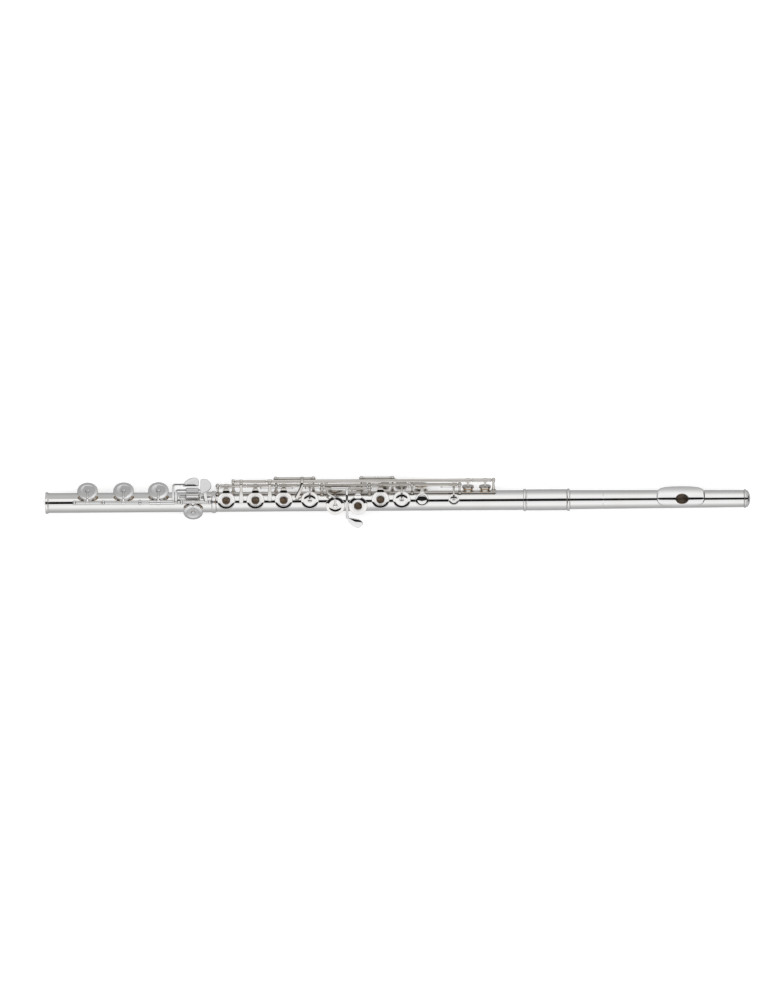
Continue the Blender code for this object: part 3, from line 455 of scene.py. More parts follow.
# ---- pieces
def mesh_of(name, shape):
    points, faces = shape
    bm = bmesh.new()
    mesh = bpy.data.meshes.new(name)
    mesh.from_pydata([tuple(point) for point in points], [], faces)
    bm.from_mesh(mesh)
    bmesh.ops.remove_doubles(bm, verts=bm.verts, dist=1e-5)
    bm.to_mesh(mesh)
    bm.free()
    return mesh


def placed(name, data):
    made = bpy.data.objects.new(name, data)
    bpy.context.scene.collection.objects.link(made)
    return made


def evaluated(made):
    bpy.context.view_layer.update()
    return bpy.data.meshes.new_from_object(made.evaluated_get(bpy.context.evaluated_depsgraph_get()))


def round_normals(mesh):
    """Normals that point straight away from the tube's axis on every face that belongs to its wall."""
    mesh.shade_smooth()
    normals = [Vector(normal.vector) for normal in mesh.corner_normals]
    for face in mesh.polygons:
        out = Vector((0, face.center.y, face.center.z)).normalized()
        facing = face.normal.dot(out)
        if abs(facing) > 0.97 and abs(face.normal.x) < 0.06:
            for corner in face.loop_indices:
                spot = mesh.vertices[mesh.loops[corner].vertex_index].co
                normals[corner] = Vector((0, spot.y, spot.z)).normalized() * (1 if facing > 0 else -1)
    mesh.normals_split_custom_set(normals)


def piece(node, look, shapes, body=None, stands=True):
    """One visible mesh that stands for a CAD node, riding on the node's body."""
    name = f"{node}_look"
    if isinstance(shapes, bpy.types.Mesh):
        mesh = shapes
        mesh.set_sharp_from_angle(angle=radians(40))
        round_normals(mesh)
    else:
        mesh = mesh_of(name, joined(shapes))
        mesh.shade_smooth()
        mesh.set_sharp_from_angle(angle=radians(45))
        draft = placed("draft", mesh)
        even = draft.modifiers.new("even", "WEIGHTED_NORMAL")
        even.keep_sharp = True
        mesh = evaluated(draft)
        bpy.data.objects.remove(draft)
    mesh.name = name
    mesh.transform(TO_FRAME)
    slot, material = LOOKS[look]
    mesh.materials.clear()
    mesh.materials.append(material)
    made = placed(name, mesh)
    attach(made, body or frame["nodes"][node]["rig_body"])
    if stands:
        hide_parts(node)
    return made


def cut_away(shape, cutters):
    """A closed shape with holes cut in it, as a mesh."""
    base = placed("base", mesh_of("base", shape))
    group = bpy.data.collections.new("cutters")
    bpy.context.scene.collection.children.link(group)
    for cutter in cutters:
        group.objects.link(bpy.data.objects.new("cutter", mesh_of("cutter", cutter)))
    cut = base.modifiers.new("cut", "BOOLEAN")
    cut.operation, cut.solver, cut.operand_type, cut.collection = "DIFFERENCE", "EXACT", "COLLECTION", group
    mesh = evaluated(base)
    for item in [base, *group.objects]:
        bpy.data.objects.remove(item)
    bpy.data.collections.remove(group)
    return mesh


# ---- tubes
CUTTER_TURN = 0.03  # keeps a cutter's corners off the tube's


def hole_cutter(name, spare, low, high):
    radius = HOLES[name].radius + spare
    return turned([(0, low), (radius, low), (radius, high), (0, high)],
                  seat(name, 0) @ Matrix.Rotation(CUTTER_TURN, 4, "Z"), soft=0.01)


# A chimney's rolled top edge: how far outside the hole, and how far under the rim.
ROLLED_EDGE = ((0.02, 0.3), (0.12, 0.1), (0.32, 0.0), (0.6, 0.02), (0.85, 0.17), (0.92, 0.4), (0.84, 0.65))


def drawn_chimney(name):
    """The wall round a tone hole: drawn up from the tube with a fillet, its top edge rolled."""
    radius, rim = HOLES[name].radius, HOLES[name].rim
    wall, fillet = radius + CHIMNEY_WALL, 0.8
    rows = []

    def ring(distance, height):
        rows.append([(distance * cos(t), distance * sin(t), height(t)) for t in full_turn(CUP_SIDES)])

    def on_tube(tube, distance):
        return lambda t: sqrt(tube ** 2 - (distance * sin(t)) ** 2)

    ring(radius, on_tube(BORE_R - 0.1, radius))
    ring(radius, lambda t: rim - 0.75)
    for out, down in ROLLED_EDGE:
        ring(radius + out, lambda t, down=down: rim - down)
    ring(wall, lambda t: rim - 0.85)
    low, high = on_tube(TUBE_R - 0.02, wall + fillet), on_tube(TUBE_R - 0.02, wall)
    for share in np.linspace(0, 1, 6):
        ring(wall + fillet * share ** 2,
             lambda t, share=share: (1 - share) ** 2 * min(high(t) + fillet, rim - 1.0)
             + 2 * share * (1 - share) * high(t) + share ** 2 * low(t))
    return moved(skin(rows), seat(name, 0))


def joint_tube(node, outline, holes):
    cutters = [hole_cutter(name, 0.35, 3.0, hole.rim) for name, hole in holes.items()]
    piece(node, "tube", cut_away(along_tube(outline, sides=TUBE_SIDES, soft=0.22), cutters))
    piece(f"{node}_chimneys", "key", [drawn_chimney(name) for name in holes],
          body=frame["nodes"][node]["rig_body"], stands=False)


def make_foot_tube():
    socket_r, sleeve_r, sleeve_start = TUBE_R - 0.25 + CLEAR, TUBE_R + 0.45, FOOT_END - TENON_LENGTH - 1.5
    ring = RING_R - 0.3
    joint_tube("foot_tube", [
        (BORE_R, 0), (TUBE_R + 0.8, 0), (ring, 0.8), (ring, 2.2), (TUBE_R + 0.5, 2.6), (TUBE_R + 0.45, 3.3),
        (TUBE_R, 3.7), (TUBE_R, sleeve_start), (sleeve_r, sleeve_start + 0.2), (sleeve_r, FOOT_END - 4.2),
        (RING_R - 0.1, FOOT_END - 3.6), (RING_R, FOOT_END - 2.8), (RING_R - 0.35, FOOT_END - 2.0),
        (RING_R, FOOT_END - 1.2), (RING_R - 0.3, FOOT_END), (socket_r, FOOT_END),
        (socket_r, FOOT_END - TENON_LENGTH - 1), (BORE_R, FOOT_END - TENON_LENGTH - 1.2)], FOOT_HOLES)


def make_body_tube():
    tenon_start, tenon_r, bore = FOOT_END - TENON_LENGTH, TUBE_R - 0.25, BORE_R - 0.2
    joint_tube("body_tube", [
        (bore, tenon_start), (tenon_r, tenon_start), (tenon_r, BODY_START), (TUBE_R, BODY_START),
        (TUBE_R, BODY_END), (bore, BODY_END)], BODY_HOLES)


SLEEVE_R = 10.45


def ringed_end(first, inner):
    """Half the barrel's outline: the ring at one end, as (radius, distance from that end)."""
    return [(inner, first), (RING_R - 0.4, first), (RING_R, first + 0.5), (RING_R, first + 1.9),
            (RING_R - 0.12, first + 2.1), (SLEEVE_R - 0.4, first + 3.05), (SLEEVE_R - 0.4, first + 3.25),
            (SLEEVE_R, first + 3.6), (SLEEVE_R, first + 4.7)]


def make_barrel():
    slide_r, seat_r = HEAD_R + CLEAR, TUBE_R + CLEAR
    middle = (BARREL_START + BARREL_END) / 2
    left = ringed_end(BARREL_START, seat_r)
    right = [(radius, 2 * middle - station) for radius, station in ringed_end(BARREL_START, slide_r)]
    step = BARREL_START + 4.2
    piece("barrel", "tube", [along_tube([*left, *right[::-1], (slide_r, step), (seat_r, step)],
                                        sides=TUBE_SIDES, soft=0.3)])


# ---- head joint
def plate_height(u, v):
    return 12.6 - 1.1 * u * u - 2.2 * min(v, 0.0) ** 2 + 1.8 * max(v - 0.15, 0.0) ** 2


FRONT_SQUARE, BACK_SQUARE = 0.8, 0.42


def plate_edge(turn):
    """Where the lip plate's rim lies in a direction: squarer behind, where the chin rests."""
    power = BACK_SQUARE if sin(turn) > 0 else FRONT_SQUARE
    return squared(cos(turn), power), squared(sin(turn), power)


# Rings of the lip plate: the share of the way from the hole's edge to the rim, and how deep under its face.
PLATE_RINGS = ((0.0, 1.1), (0.0, 0.5), (0.004, 0.16), (0.014, 0.03), (0.03, 0.0), (0.1, 0.0), (0.2, 0.0),
               (0.32, 0.0), (0.45, 0.0), (0.58, 0.0), (0.7, 0.0), (0.8, 0.0), (0.87, 0.0), (0.90, 0.03),
               (0.925, 0.12), (0.95, 0.28), (0.972, 0.50), (0.99, 0.76), (1.0, 1.02), (0.998, 1.2),
               (0.98, 1.35), (0.95, 1.25), (0.9, 1.0), (0.7, 0.9), (0.4, 0.9), (0.1, 0.95))


def make_lip_plate():
    """A thin saddle over the riser, from the blowing hole's edge out to an oval, with a rolled rim."""
    middle, half = (PLATE_FRONT + PLATE_BACK) / 2, (PLATE_BACK - PLATE_FRONT) / 2
    hole_v = -middle / half
    reach = EMBOUCHURE_WIDTH / 2 / plate_height(0, hole_v) * 180 / pi
    rows = []
    for share, sink in PLATE_RINGS:
        row = []
        for t in full_turn(PLATE_SIDES):
            edge_u, edge_v = plate_edge(t - 0.5 * sin(2 * t))
            start_u = (EMBOUCHURE_LENGTH / 2 * cos(t) + EMBOUCHURE - PLATE_MIDDLE) / (PLATE_LENGTH / 2)
            start_v = hole_v + reach / half * sin(t)
            u = start_u + (edge_u - start_u) * share
            v = start_v + (edge_v - start_v) * share
            row.append((at(PLATE_MIDDLE) + PLATE_LENGTH / 2 * u,
                        *polar(middle + half * v, plate_height(u, v) - sink)))
        rows.append(row)
    piece("lip_plate", "plate", [skin(rows, loop=True)])


def oval(grow, height):
    """A ring round the blowing hole; its height follows from how far off the tube's middle it is."""
    spots = [(at(EMBOUCHURE) + (EMBOUCHURE_LENGTH / 2 + grow) * cos(t), (EMBOUCHURE_WIDTH / 2 + grow) * sin(t))
             for t in full_turn(CUP_SIDES)]
    return [(x, y, height(y)) for x, y in spots]


TUNING_MARK = 557.5


def make_head():
    mark_r = HEAD_R + (HEAD_END_R - HEAD_R) * (TUNING_MARK - BARREL_END) / (HEAD_END - BARREL_END)
    tube = along_tube([(HEAD_R - WALL, HEAD_START), (HEAD_R, HEAD_START), (HEAD_R, BARREL_END),
                       (mark_r, TUNING_MARK - 0.45), (mark_r - 0.22, TUNING_MARK), (mark_r, TUNING_MARK + 0.45),
                       (HEAD_END_R, HEAD_END), (HEAD_END_R - WALL, HEAD_END), (HEAD_R - WALL, BARREL_END)],
                      sides=TUBE_SIDES, soft=0.15)
    cutter = skin([oval(1.1, lambda y: 4.0), oval(1.1, lambda y: 14.0)], capped=True)
    piece("head_tube", "tube", cut_away(tube, [cutter]))
    rows = [oval(grow, lambda y, radius=radius: sqrt(radius ** 2 - y ** 2))
            for grow, radius in ((0.0, 8.25), (0.0, 11.55), (0.9, 11.55), (1.1, 8.25))]
    piece("embouchure_riser", "riser", [skin(rows, loop=True)])


def make_crown_and_stopper():
    rod_r, hole_r, ring_r, dome_start = 1.6, 1.95, 9.55, 701.0
    plug_r, plug_start = HEAD_END_R - WALL - CLEAR, HEAD_END - 8
    dome = [(ring_r, dome_start - 1.0), (ring_r - 0.7, dome_start - 0.75), (ring_r - 1.1, dome_start - 0.5),
            (ring_r - 1.0, dome_start), (8.45, 701.7), (7.1, 702.95), (5.0, 703.9), (2.6, 704.5),
            (0, LENGTH)]
    piece("crown", "plate", [along_tube(
        [(0, plug_start + 7.4), (hole_r, plug_start + 7.4), (hole_r, plug_start), (plug_r, plug_start),
         (plug_r, HEAD_END + CLEAR), (ring_r - 0.3, HEAD_END + CLEAR), (ring_r, HEAD_END + 0.9), *dome],
        sides=TUBE_SIDES, soft=0.3)])
    plate_at, plate_r, plate_thick = EMBOUCHURE + 17, 8.0, 1.5
    cork_start, cork_end = plate_at + plate_thick + CLEAR, plate_at + 16
    threads = [(rod_r - (0.18 if index % 2 else 0.0), cork_end + 2.2 + 0.35 * index)
               for index in range(int((plug_start + 5.6 - cork_end - 2.2) / 0.35))]
    piece("stopper_screw", "plate", [along_tube(
        [(0, plate_at), (plate_r, plate_at), (plate_r, plate_at + plate_thick),
         (rod_r, plate_at + plate_thick), *threads, (rod_r - 0.3, plug_start + 6), (0, plug_start + 6)],
        soft=0.1)])
    piece("stopper_cork", "cork", [pipe(cork_start, cork_end, plate_r, hole_r, sides=CUP_SIDES, soft=0.5)])
    piece("stopper_nut", "plate", [pipe(cork_end + CLEAR, cork_end + CLEAR + 1.4, plate_r - 0.5, hole_r,
                                      sides=CUP_SIDES, soft=0.3)])


# ---- posts, ribs, steels, springs
def ball_post(station, hinge, foot, bend=None, hole=POST_HOLE_R, ball=2.45, width=POST_WIDTH):
    """A turned ball with the rod's hole through it, on a waisted stem with a flange on the rib."""
    half = width / 2
    head = along_tube([
        (hole, station - half), (ball * 0.74, station - half), (ball * 0.93, station - half * 0.6),
        (ball, station), (ball * 0.93, station + half * 0.6), (ball * 0.74, station + half),
        (hole, station + half)], hinge, soft=0.5)
    points = [np.array(foot), *([np.array(bend)] if bend else []), np.array(hinge)]
    away = (points[-2] - points[-1]) / norm(points[-2] - points[-1])
    points[-1] = points[-1] + away * (hole + 0.6)
    widths = np.interp(np.linspace(0, 1, len(points) + 2), (0, 0.35, 0.75, 1), (2.9, 1.9, 1.7, 2.3))
    fine = [points[0]] + [points[0] + (points[1] - points[0]) * 0.4] + points[1:-1] + [
        points[-1] + away * 0.8, points[-1]]
    stem = strip([(station, y, z, width, width) for (y, z), width in zip(fine, widths)], soft=1.2, square=1.0)
    up = Vector((0, *(points[1] - points[0]))).normalized()
    flange = turned([(0, -0.9), (2.15, -0.9), (2.15, 0.0), (1.5, 0.55), (0, 0.6)],
                    Matrix.Translation((at(station), *foot)) @ up.to_track_quat("Z", "Y").to_matrix().to_4x4(),
                    sides=ROD_SIDES)
    return [head, stem, flange]


def rib_pieces(start, end, first_angle, last_angle, inner, outer, holes):
    """A rib along the tube, notched where a chimney stands in its way."""
    mesh = cut_away(arc_plate(start, end, first_angle, last_angle, inner, outer),
                    [hole_cutter(name, CHIMNEY_WALL + CLEAR, 0, FOOT_RIM + 1) for name in holes])
    return (np.array([tuple(vertex.co) for vertex in mesh.vertices]),
            [tuple(face.vertices) for face in mesh.polygons])


def make_body_posts():
    strap_in, strap_out = TUBE_R - 0.05, TUBE_R + 1.2
    shapes = [rib_pieces(MAIN_POSTS[0] - 1.4, TRILL_POSTS[-1] + 2.5, 44, 60, strap_in, strap_out, BODY_HOLES)]
    for hinge, stations in ((MAIN_HINGE, MAIN_POSTS), (G_HINGE, G_POSTS)):
        for station in stations:
            shapes += ball_post(station, hinge, polar(47, strap_out - 0.2))
    for station in TRILL_POSTS:
        shapes += [arc_plate(station - 2.4, station + 2.4, 51, 84, strap_in, strap_out),
                   *ball_post(station, TRILL_HINGE, polar(80, strap_out - 0.3), (20.4, 5.0))]
    for station in SIDE_POSTS:
        shapes += [arc_plate(station - 1.6, station + 1.6, 51, 86, strap_in, strap_out),
                   *ball_post(station, SIDE_HINGE, polar(80, strap_out - 0.3))]
    piece("body_rib_and_posts", "key", shapes)


def make_foot_posts():
    strap_in, strap_out = TUBE_R + 0.15, TUBE_R + 1.7
    shapes = [rib_pieces(FOOT_POSTS[0] - 2, FOOT_POSTS[-1] + 1.2, -9, 9, strap_in, strap_out, FOOT_HOLES)]
    for station in FOOT_POSTS:
        wide = station == FOOT_POSTS[2]
        shapes += ball_post(station, FOOT_HINGE, polar(0, strap_out - 0.2), width=2.4,
                            hole=LOW_C_TUBE_R + 0.3 if wide else POST_HOLE_R, ball=2.9 if wide else 2.4)
    piece("foot_rib_and_posts", "foot_key", shapes)


def slotted_end(station, hinge, way):
    """A screw's head: a low disc with two raised halves, which leave a slot between them."""
    radius = SCREW_R
    disc = bar(station, station + 0.25 * way, radius, hinge)
    place = (Matrix.Translation((at(station + 0.2 * way), *hinge)) @ Matrix.Rotation(way * pi / 2, 4, "Y")
             @ Matrix.Rotation(0.5, 4, "Z"))
    halves = []
    for side in (1, -1):
        turns = np.linspace(radians(14), radians(166), 10) * side
        halves.append(plate([(radius * 0.97 * cos(t), radius * 0.97 * sin(t)) for t in turns], 0.0, 0.35,
                            dome=0.1, soft=0.06, place=place))
    return [disc, *halves]


def make_steels():
    for node, start, end, hinge, radius, heads in (
        ("right_hand_steel", MAIN_POSTS[0] - 1.6, MAIN_POSTS[2] - 0.2, MAIN_HINGE, STEEL_R, (-1,)),
        ("left_hand_steel", MAIN_POSTS[2] + 0.4, MAIN_POSTS[-1] + 1.6, MAIN_HINGE, STEEL_R, (1,)),
        ("offset_g_steel", G_POSTS[0] - 1.6, G_POSTS[-1] + 1.6, G_HINGE, G_STEEL_R, (-1, 1)),
        ("side_lever_steel", SIDE_POSTS[0] - 1.6, SIDE_POSTS[1] + 1.6, SIDE_HINGE, STEEL_R, (-1, 1)),
        ("thumb_steel", SIDE_POSTS[2] - 1.6, SIDE_POSTS[3] + 1.6, SIDE_HINGE, STEEL_R, (-1, 1)),
        ("d_sharp_steel", FOOT_POSTS[3] + 0.3, FOOT_POSTS[4] + 1.2, FOOT_HINGE, STEEL_R, (1,)),
    ):
        shapes = [bar(start, end, radius, hinge)]
        for way in heads:
            shapes += slotted_end(start if way < 0 else end, hinge, way)
        piece(node, "steel", shapes)


# The needle spring of each key: its hinge, the post it grows from, and the station of its tip.
SPRINGS = {
    "d": (MAIN_HINGE, 172.5, 187.5), "e": (MAIN_HINGE, 231.0, 215.6), "f": (MAIN_HINGE, 231.0, 247.0),
    "f_sharp": (MAIN_HINGE, 276.5, 260.0), "a": (MAIN_HINGE, 324.0, 341.5),
    "b_flat": (MAIN_HINGE, 366.5, 350.5), "c": (MAIN_HINGE, 414.0, 396.0), "g": (G_HINGE, 324.0, 306.5),
    "low_b": (FOOT_HINGE, 29.5, 46.0), "low_c": (FOOT_HINGE, 58.3, 74.0),
    "low_c_sharp": (FOOT_HINGE, 94.9, 109.5), "d_sharp": (FOOT_HINGE, 136.5, 152.0),
}
# Which way the springs lie from their hinge, and how far off.
SPRING_WAYS = {MAIN_HINGE: (-0.94, -0.34), G_HINGE: (-0.71, -0.71), FOOT_HINGE: (0.0, -1.0)}
SPRING_GAP = 2.95


def spring_place(hinge, distance):
    way = SPRING_WAYS[hinge]
    return hinge[0] + way[0] * distance, hinge[1] + way[1] * distance


def make_springs():
    for body in ("body_joint", "foot_joint"):
        wires = []
        for hinge, post, tip in SPRINGS.values():
            if (hinge == FOOT_HINGE) != (body == "foot_joint"):
                continue
            y, z = spring_place(hinge, SPRING_GAP)
            way = 1 if tip > post else -1
            wires.append(strip([(post - 1.6 * way, y, z, 0.6, 0.6), (post + 1.0 * way, y, z, 0.5, 0.5),
                                (tip + 1.2 * way, y, z, 0.3, 0.3)], across=(0, 1, 0), square=1.0, sides=10))
        piece(f"{body}_springs", "steel", wires, body=body, stands=False)


def spring_hook(key):
    """The little cleat on a key that catches the tip of its spring."""
    hinge, _, tip = SPRINGS[key]
    near, far = spring_place(hinge, 1.2), spring_place(hinge, SPRING_GAP + 0.5)
    return strip([(tip, *near, 1.3, 1.0), (tip, *far, 0.9, 0.6)], square=0.8, sides=12)


# ---- keys
# A cup's outer ring: shares of its width, from the edge in, and how far down the ring is there. The offset
# cups' rings are plainer cones.
RING_SHARES = (0.86, 0.68, 0.50, 0.32, 0.16, 0)
PILLOWED, SLOPED = (0.160, 0.110, 0.069, 0.036, 0.012, 0), (0.212, 0.166, 0.121, 0.077, 0.037, 0)


def cup_shape(name, open_hole=False, drops=PILLOWED):
    """A pad cup: a turned skirt, a sloping outer ring and, within it, a flat with a hole or a dish."""
    outer, place = HOLES[name].cup, cup_place(name)
    inner = outer * 0.69
    fall = outer - inner
    side = [(outer - CUP_WALL, CUP_CEILING), (outer - CUP_WALL, CUP_SKIRT), (outer, CUP_SKIRT),
            (outer, 1.75), (outer - 0.07, 2.0), (outer - 0.04, 2.5),
            (outer - 0.14, min(2.9, 3.42 - fall * drops[0]))]
    side += [(inner + fall * share, 3.54 - fall * drop) for share, drop in zip(RING_SHARES, drops)]
    if open_hole:
        hole = FINGER_HOLE_R
        return turned([(hole + CUP_WALL, CUP_CEILING), *side, (inner - 0.12, 3.5), (inner - 0.24, 3.56),
                       (hole + 0.95, 3.62), (hole + 0.82, 3.55), (hole + 0.7, 3.6), (hole + 0.3, 3.55),
                       (hole, 3.2), (hole, 2.6), (hole, PAD_LIFT + 0.7),
                       (hole + CUP_WALL, PAD_LIFT + 0.7)], place)
    dish = [(inner - 0.2, 3.5), (inner - 0.42, 3.38), (inner * 0.88, 3.24), (inner * 0.80, 3.12),
            (inner * 0.70, 3.00), (inner * 0.58, 2.91), (inner * 0.42, 2.85), (0, 2.82)]
    return turned([(0, CUP_CEILING), *side, *dish], place)


def nub(name, radius=1.9):
    """The domed button at the middle of a plain cup, where the arm's point is soldered."""
    return turned([(0, 2.8), (radius + 0.3, 2.8), (radius + 0.05, 3.3), (radius, 3.75), (radius * 0.9, 4.0),
                   (radius * 0.62, 4.17), (radius * 0.3, 4.28), (0, 4.32)],
                  cup_place(name), ROD_SIDES, soft=0.3)


def make_pad(name, open_hole=False):
    radius = HOLES[name].cup - CUP_WALL - CLEAR
    inner = FINGER_HOLE_R + CUP_WALL + CLEAR if open_hole else 0
    seat_r = HOLES[name].radius + 0.45
    face = [(radius, PAD_TOP), (inner, PAD_TOP), (inner, PAD_LIFT + 0.15), (seat_r - 0.7, PAD_LIFT + 0.02),
            (seat_r, PAD_LIFT + 0.16), (min(seat_r + 0.7, radius - 0.25), PAD_LIFT + 0.02),
            (radius, PAD_LIFT + 0.45)]
    outline = face if open_hole else [(0, PAD_LIFT + 0.1), *face[3:], (radius, PAD_TOP), (0, PAD_TOP)]
    piece(f"{name}_pad", "skin", [turned(outline, cup_place(name), soft=0.4)])


def key_tube(start, end, hinge=MAIN_HINGE, radius=KEY_TUBE_R, bore=KEY_TUBE_BORE, collar=0.22):
    """A hinge tube, or with no bore a rod, with a turned collar at each end."""
    half = [(bore, 0), (radius + collar, 0), (radius + collar, 1.1), (radius, 1.35)]
    return along_tube(both_ends(half, start, end), hinge, soft=0.12)


def swung_strip(path, hinge, angle, **shape):
    return moved(strip(path, **shape), swung(hinge, angle))


def cup_arm(hinge, swing, station, angle, face, radius, reach, width, hub=KEY_TUBE_R, root=None, hump=0.02,
            ridge=0.0):
    """An arm from a hinge tube to a cup: with a reach, a fan on the cup's edge, or a point to its middle."""
    pivot, middle, up = Vector(hinge), Vector(polar(angle, face)), Vector(polar(angle, 1))
    across = Vector((up.y, -up.x))
    if across.dot(pivot - middle) < 0:
        across = -across
    edge = middle + across * radius * 0.9 + up * 0.15
    lifted = (edge + pivot) / 2 + up * 0.7
    start = pivot + (lifted - pivot).normalized() * (hub - 0.3)
    root = station if root is None else root
    if reach:
        heel = middle + across * (radius + 0.1) - up * 0.3
        crest = middle + across * (radius + 1.9) + up * hump
        end = middle + across * (radius - 1.4) - up * 0.3
        rise = pivot.lerp(crest, 0.62) + up * 0.5
        path = [(root, *start, width * 0.9, 1.3), (root, *rise, width * 0.9, 1.3),
                (station, *crest, width * 1.45, 1.2), (station, *heel, width * 2.0, 1.2),
                (station, *end, width * 1.7, 0.8)]
        return swung_strip(path, hinge, swing, soft=1.6, square=0.55)
    end, near = middle + up * 0.2, edge.lerp(middle, 0.45) + up * 0.1
    edge, near = edge + up * ridge, near + up * ridge * 0.5
    path = [(root, *start, width, 1.4), (root, *(lifted + up * ridge * 0.7), width * 0.8, 1.35),
            (station, *edge, width * 0.62, 1.25), (station, *near, width * 0.46, 1.15),
            (station, *end, width * 0.36, 1.0)]
    return swung_strip(path, hinge, swing, soft=3.0, square=0.8)


def hub_ring(station, hinge, radius=KEY_TUBE_R, width=4.2):
    """The sleeve by which an arm grips its hinge tube."""
    return along_tube([(radius - 0.2, station - width / 2), (radius + 0.32, station - width / 2 + 0.1),
                       (radius + 0.42, station), (radius + 0.32, station + width / 2 - 0.1),
                       (radius - 0.2, station + width / 2)], hinge, soft=0.4)


def hole_arm(name, open_hole=False, **shape):
    hole = HOLES[name]
    reach, width = (FINGER_HOLE_R + 1.6, 4.0) if open_hole else (0.0, 2.6)
    arm = cup_arm(hole.hinge, hole.swing, hole.station, hole.angle, hole.rim + CUP_HEIGHT, hole.cup, reach,
                  width, ridge=0.9 if hole.swing == MAIN_OPEN else 0.0, **shape)
    return [arm] if open_hole else [arm, nub(name, 1.9 if hole.cup > 6.5 else 1.25)]


def make_cup_key(name, tube, open_hole=False, extra=(), look="key"):
    hole = HOLES[name]
    piece(f"{name}_key", look, [tube, cup_shape(name, open_hole), hub_ring(hole.station, hole.hinge),
                                *hole_arm(name, open_hole), spring_hook(name), *extra])
    make_pad(name, open_hole)


def make_main_line_keys():
    for name, start, end, open_hole in (
        ("d", 174.9, 200.8, True), ("e", 201.4, 228.6, True), ("f", 233.4, 253.2, True),
        ("f_sharp", 253.8, 274.1, False), ("a", 326.4, 345.6, True), ("b_flat", 346.2, 364.1, False),
    ):
        make_cup_key(name, key_tube(start, end), open_hole)


def make_connecting_tube():
    start, end, inset = 278.9, 321.6, 2.0
    y, z = MAIN_HINGE
    lugs = [strip([(station, y + 1.0, z + 0.1, 3.4, 1.3), (station, y + 3.4, z - 1.6, 3.4, 1.2)], soft=1.0)
            for station in (start + inset, end - inset)]
    piece("connecting_tube", "key", [key_tube(start, end), *lugs])


TOUCH_LEAN = 5.5


def make_c_key():
    touch, radius = 376.5, 6.8
    place = (swung(MAIN_HINGE, MAIN_OPEN) @ Matrix.Translation((at(touch), 0, BODY_RIM))
             @ spin(TOUCH_LEAN))
    dish = turned([(0, 1.9), (4.0, 2.1), (radius - 0.5, 2.3), (radius, 2.6), (radius - 0.05, 2.95),
                   (radius - 0.3, 3.25), (radius - 1.0, 3.5), (radius - 1.7, 3.62), (4.5, 3.6), (4.2, 3.48),
                   (3.4, 3.30), (2.5, 3.17), (1.5, 3.09), (0, 3.06)], place)
    arm = cup_arm(MAIN_HINGE, MAIN_OPEN, touch, 0.0, BODY_RIM + CUP_HEIGHT, radius, 5.4, 2.6, hump=-1.4)
    piece("c_key", "key", [
        key_tube(368.9, 411.7), dish, arm, cup_shape("c_sharp"), hub_ring(touch, MAIN_HINGE),
        hub_ring(HOLES["c_sharp"].station, MAIN_HINGE, width=3.4), *hole_arm("c_sharp"), spring_hook("c")])
    make_pad("c_sharp")


def make_g_keys():
    root = 282.0
    piece("g_keys", "key", [
        pipe(278.6, 321.9, G_TUBE_R, G_TUBE_BORE, G_HINGE),
        pipe(303.6, 305.0, G_TUBE_R + 0.4, G_TUBE_R, G_HINGE),
        cup_shape("g_upper", open_hole=True, drops=SLOPED), cup_shape("g_lower", drops=SLOPED),
        hub_ring(HOLES["g_upper"].station, G_HINGE, G_TUBE_R), hub_ring(root, G_HINGE, G_TUBE_R, 4.0),
        *hole_arm("g_upper", open_hole=True, hub=G_TUBE_R), *hole_arm("g_lower", hub=G_TUBE_R, root=root),
        spring_hook("g")])
    make_pad("g_upper", open_hole=True)
    make_pad("g_lower")


def make_g_sharp_key():
    lever, spoon_low, spoon_thick = 301.5, 8.0, 1.2
    spoon = [(300.4, -15.4), (303.4, -16.4), (310.0, -17.4), (315.0, -18.6), (317.6, -21.6),
             (316.4, -25.4), (311.8, -27.5), (305.0, -23.8)]
    y, z = G_HINGE
    path = [(lever, y, z + G_SHARP_TUBE_R, 2.8, 1.3), (lever, 8.6, 16.9, 2.4, 1.3),
            (lever, 0.0, 17.2, 2.1, 1.3), (lever, -9.0, 14.4, 2.1, 1.3), (lever + 0.3, -16.9, 8.8, 2.9, 1.2)]
    branch = [(289.5, y + 0.1, z - G_SHARP_TUBE_R + 0.2, 3.4, 1.3), (289.5, 12.6, 8.4, 3.0, 1.3),
              (289.5, 14.35, 6.8, 2.6, 1.2)]
    piece("g_sharp_key", "plate", [
        key_tube(286.0, 303.0, G_HINGE, G_SHARP_TUBE_R, G_SHARP_TUBE_BORE, 0.15),
        cup_shape("g_sharp"), nub("g_sharp"), strip(branch, soft=1.5), strip(path, square=0.9),
        blade(spoon, spoon_low, spoon_low + spoon_thick, dome=0.4, soft=4.0,
              place=swung((-17.0, spoon_low), SPOON_LEAN))])
    make_pad("g_sharp")


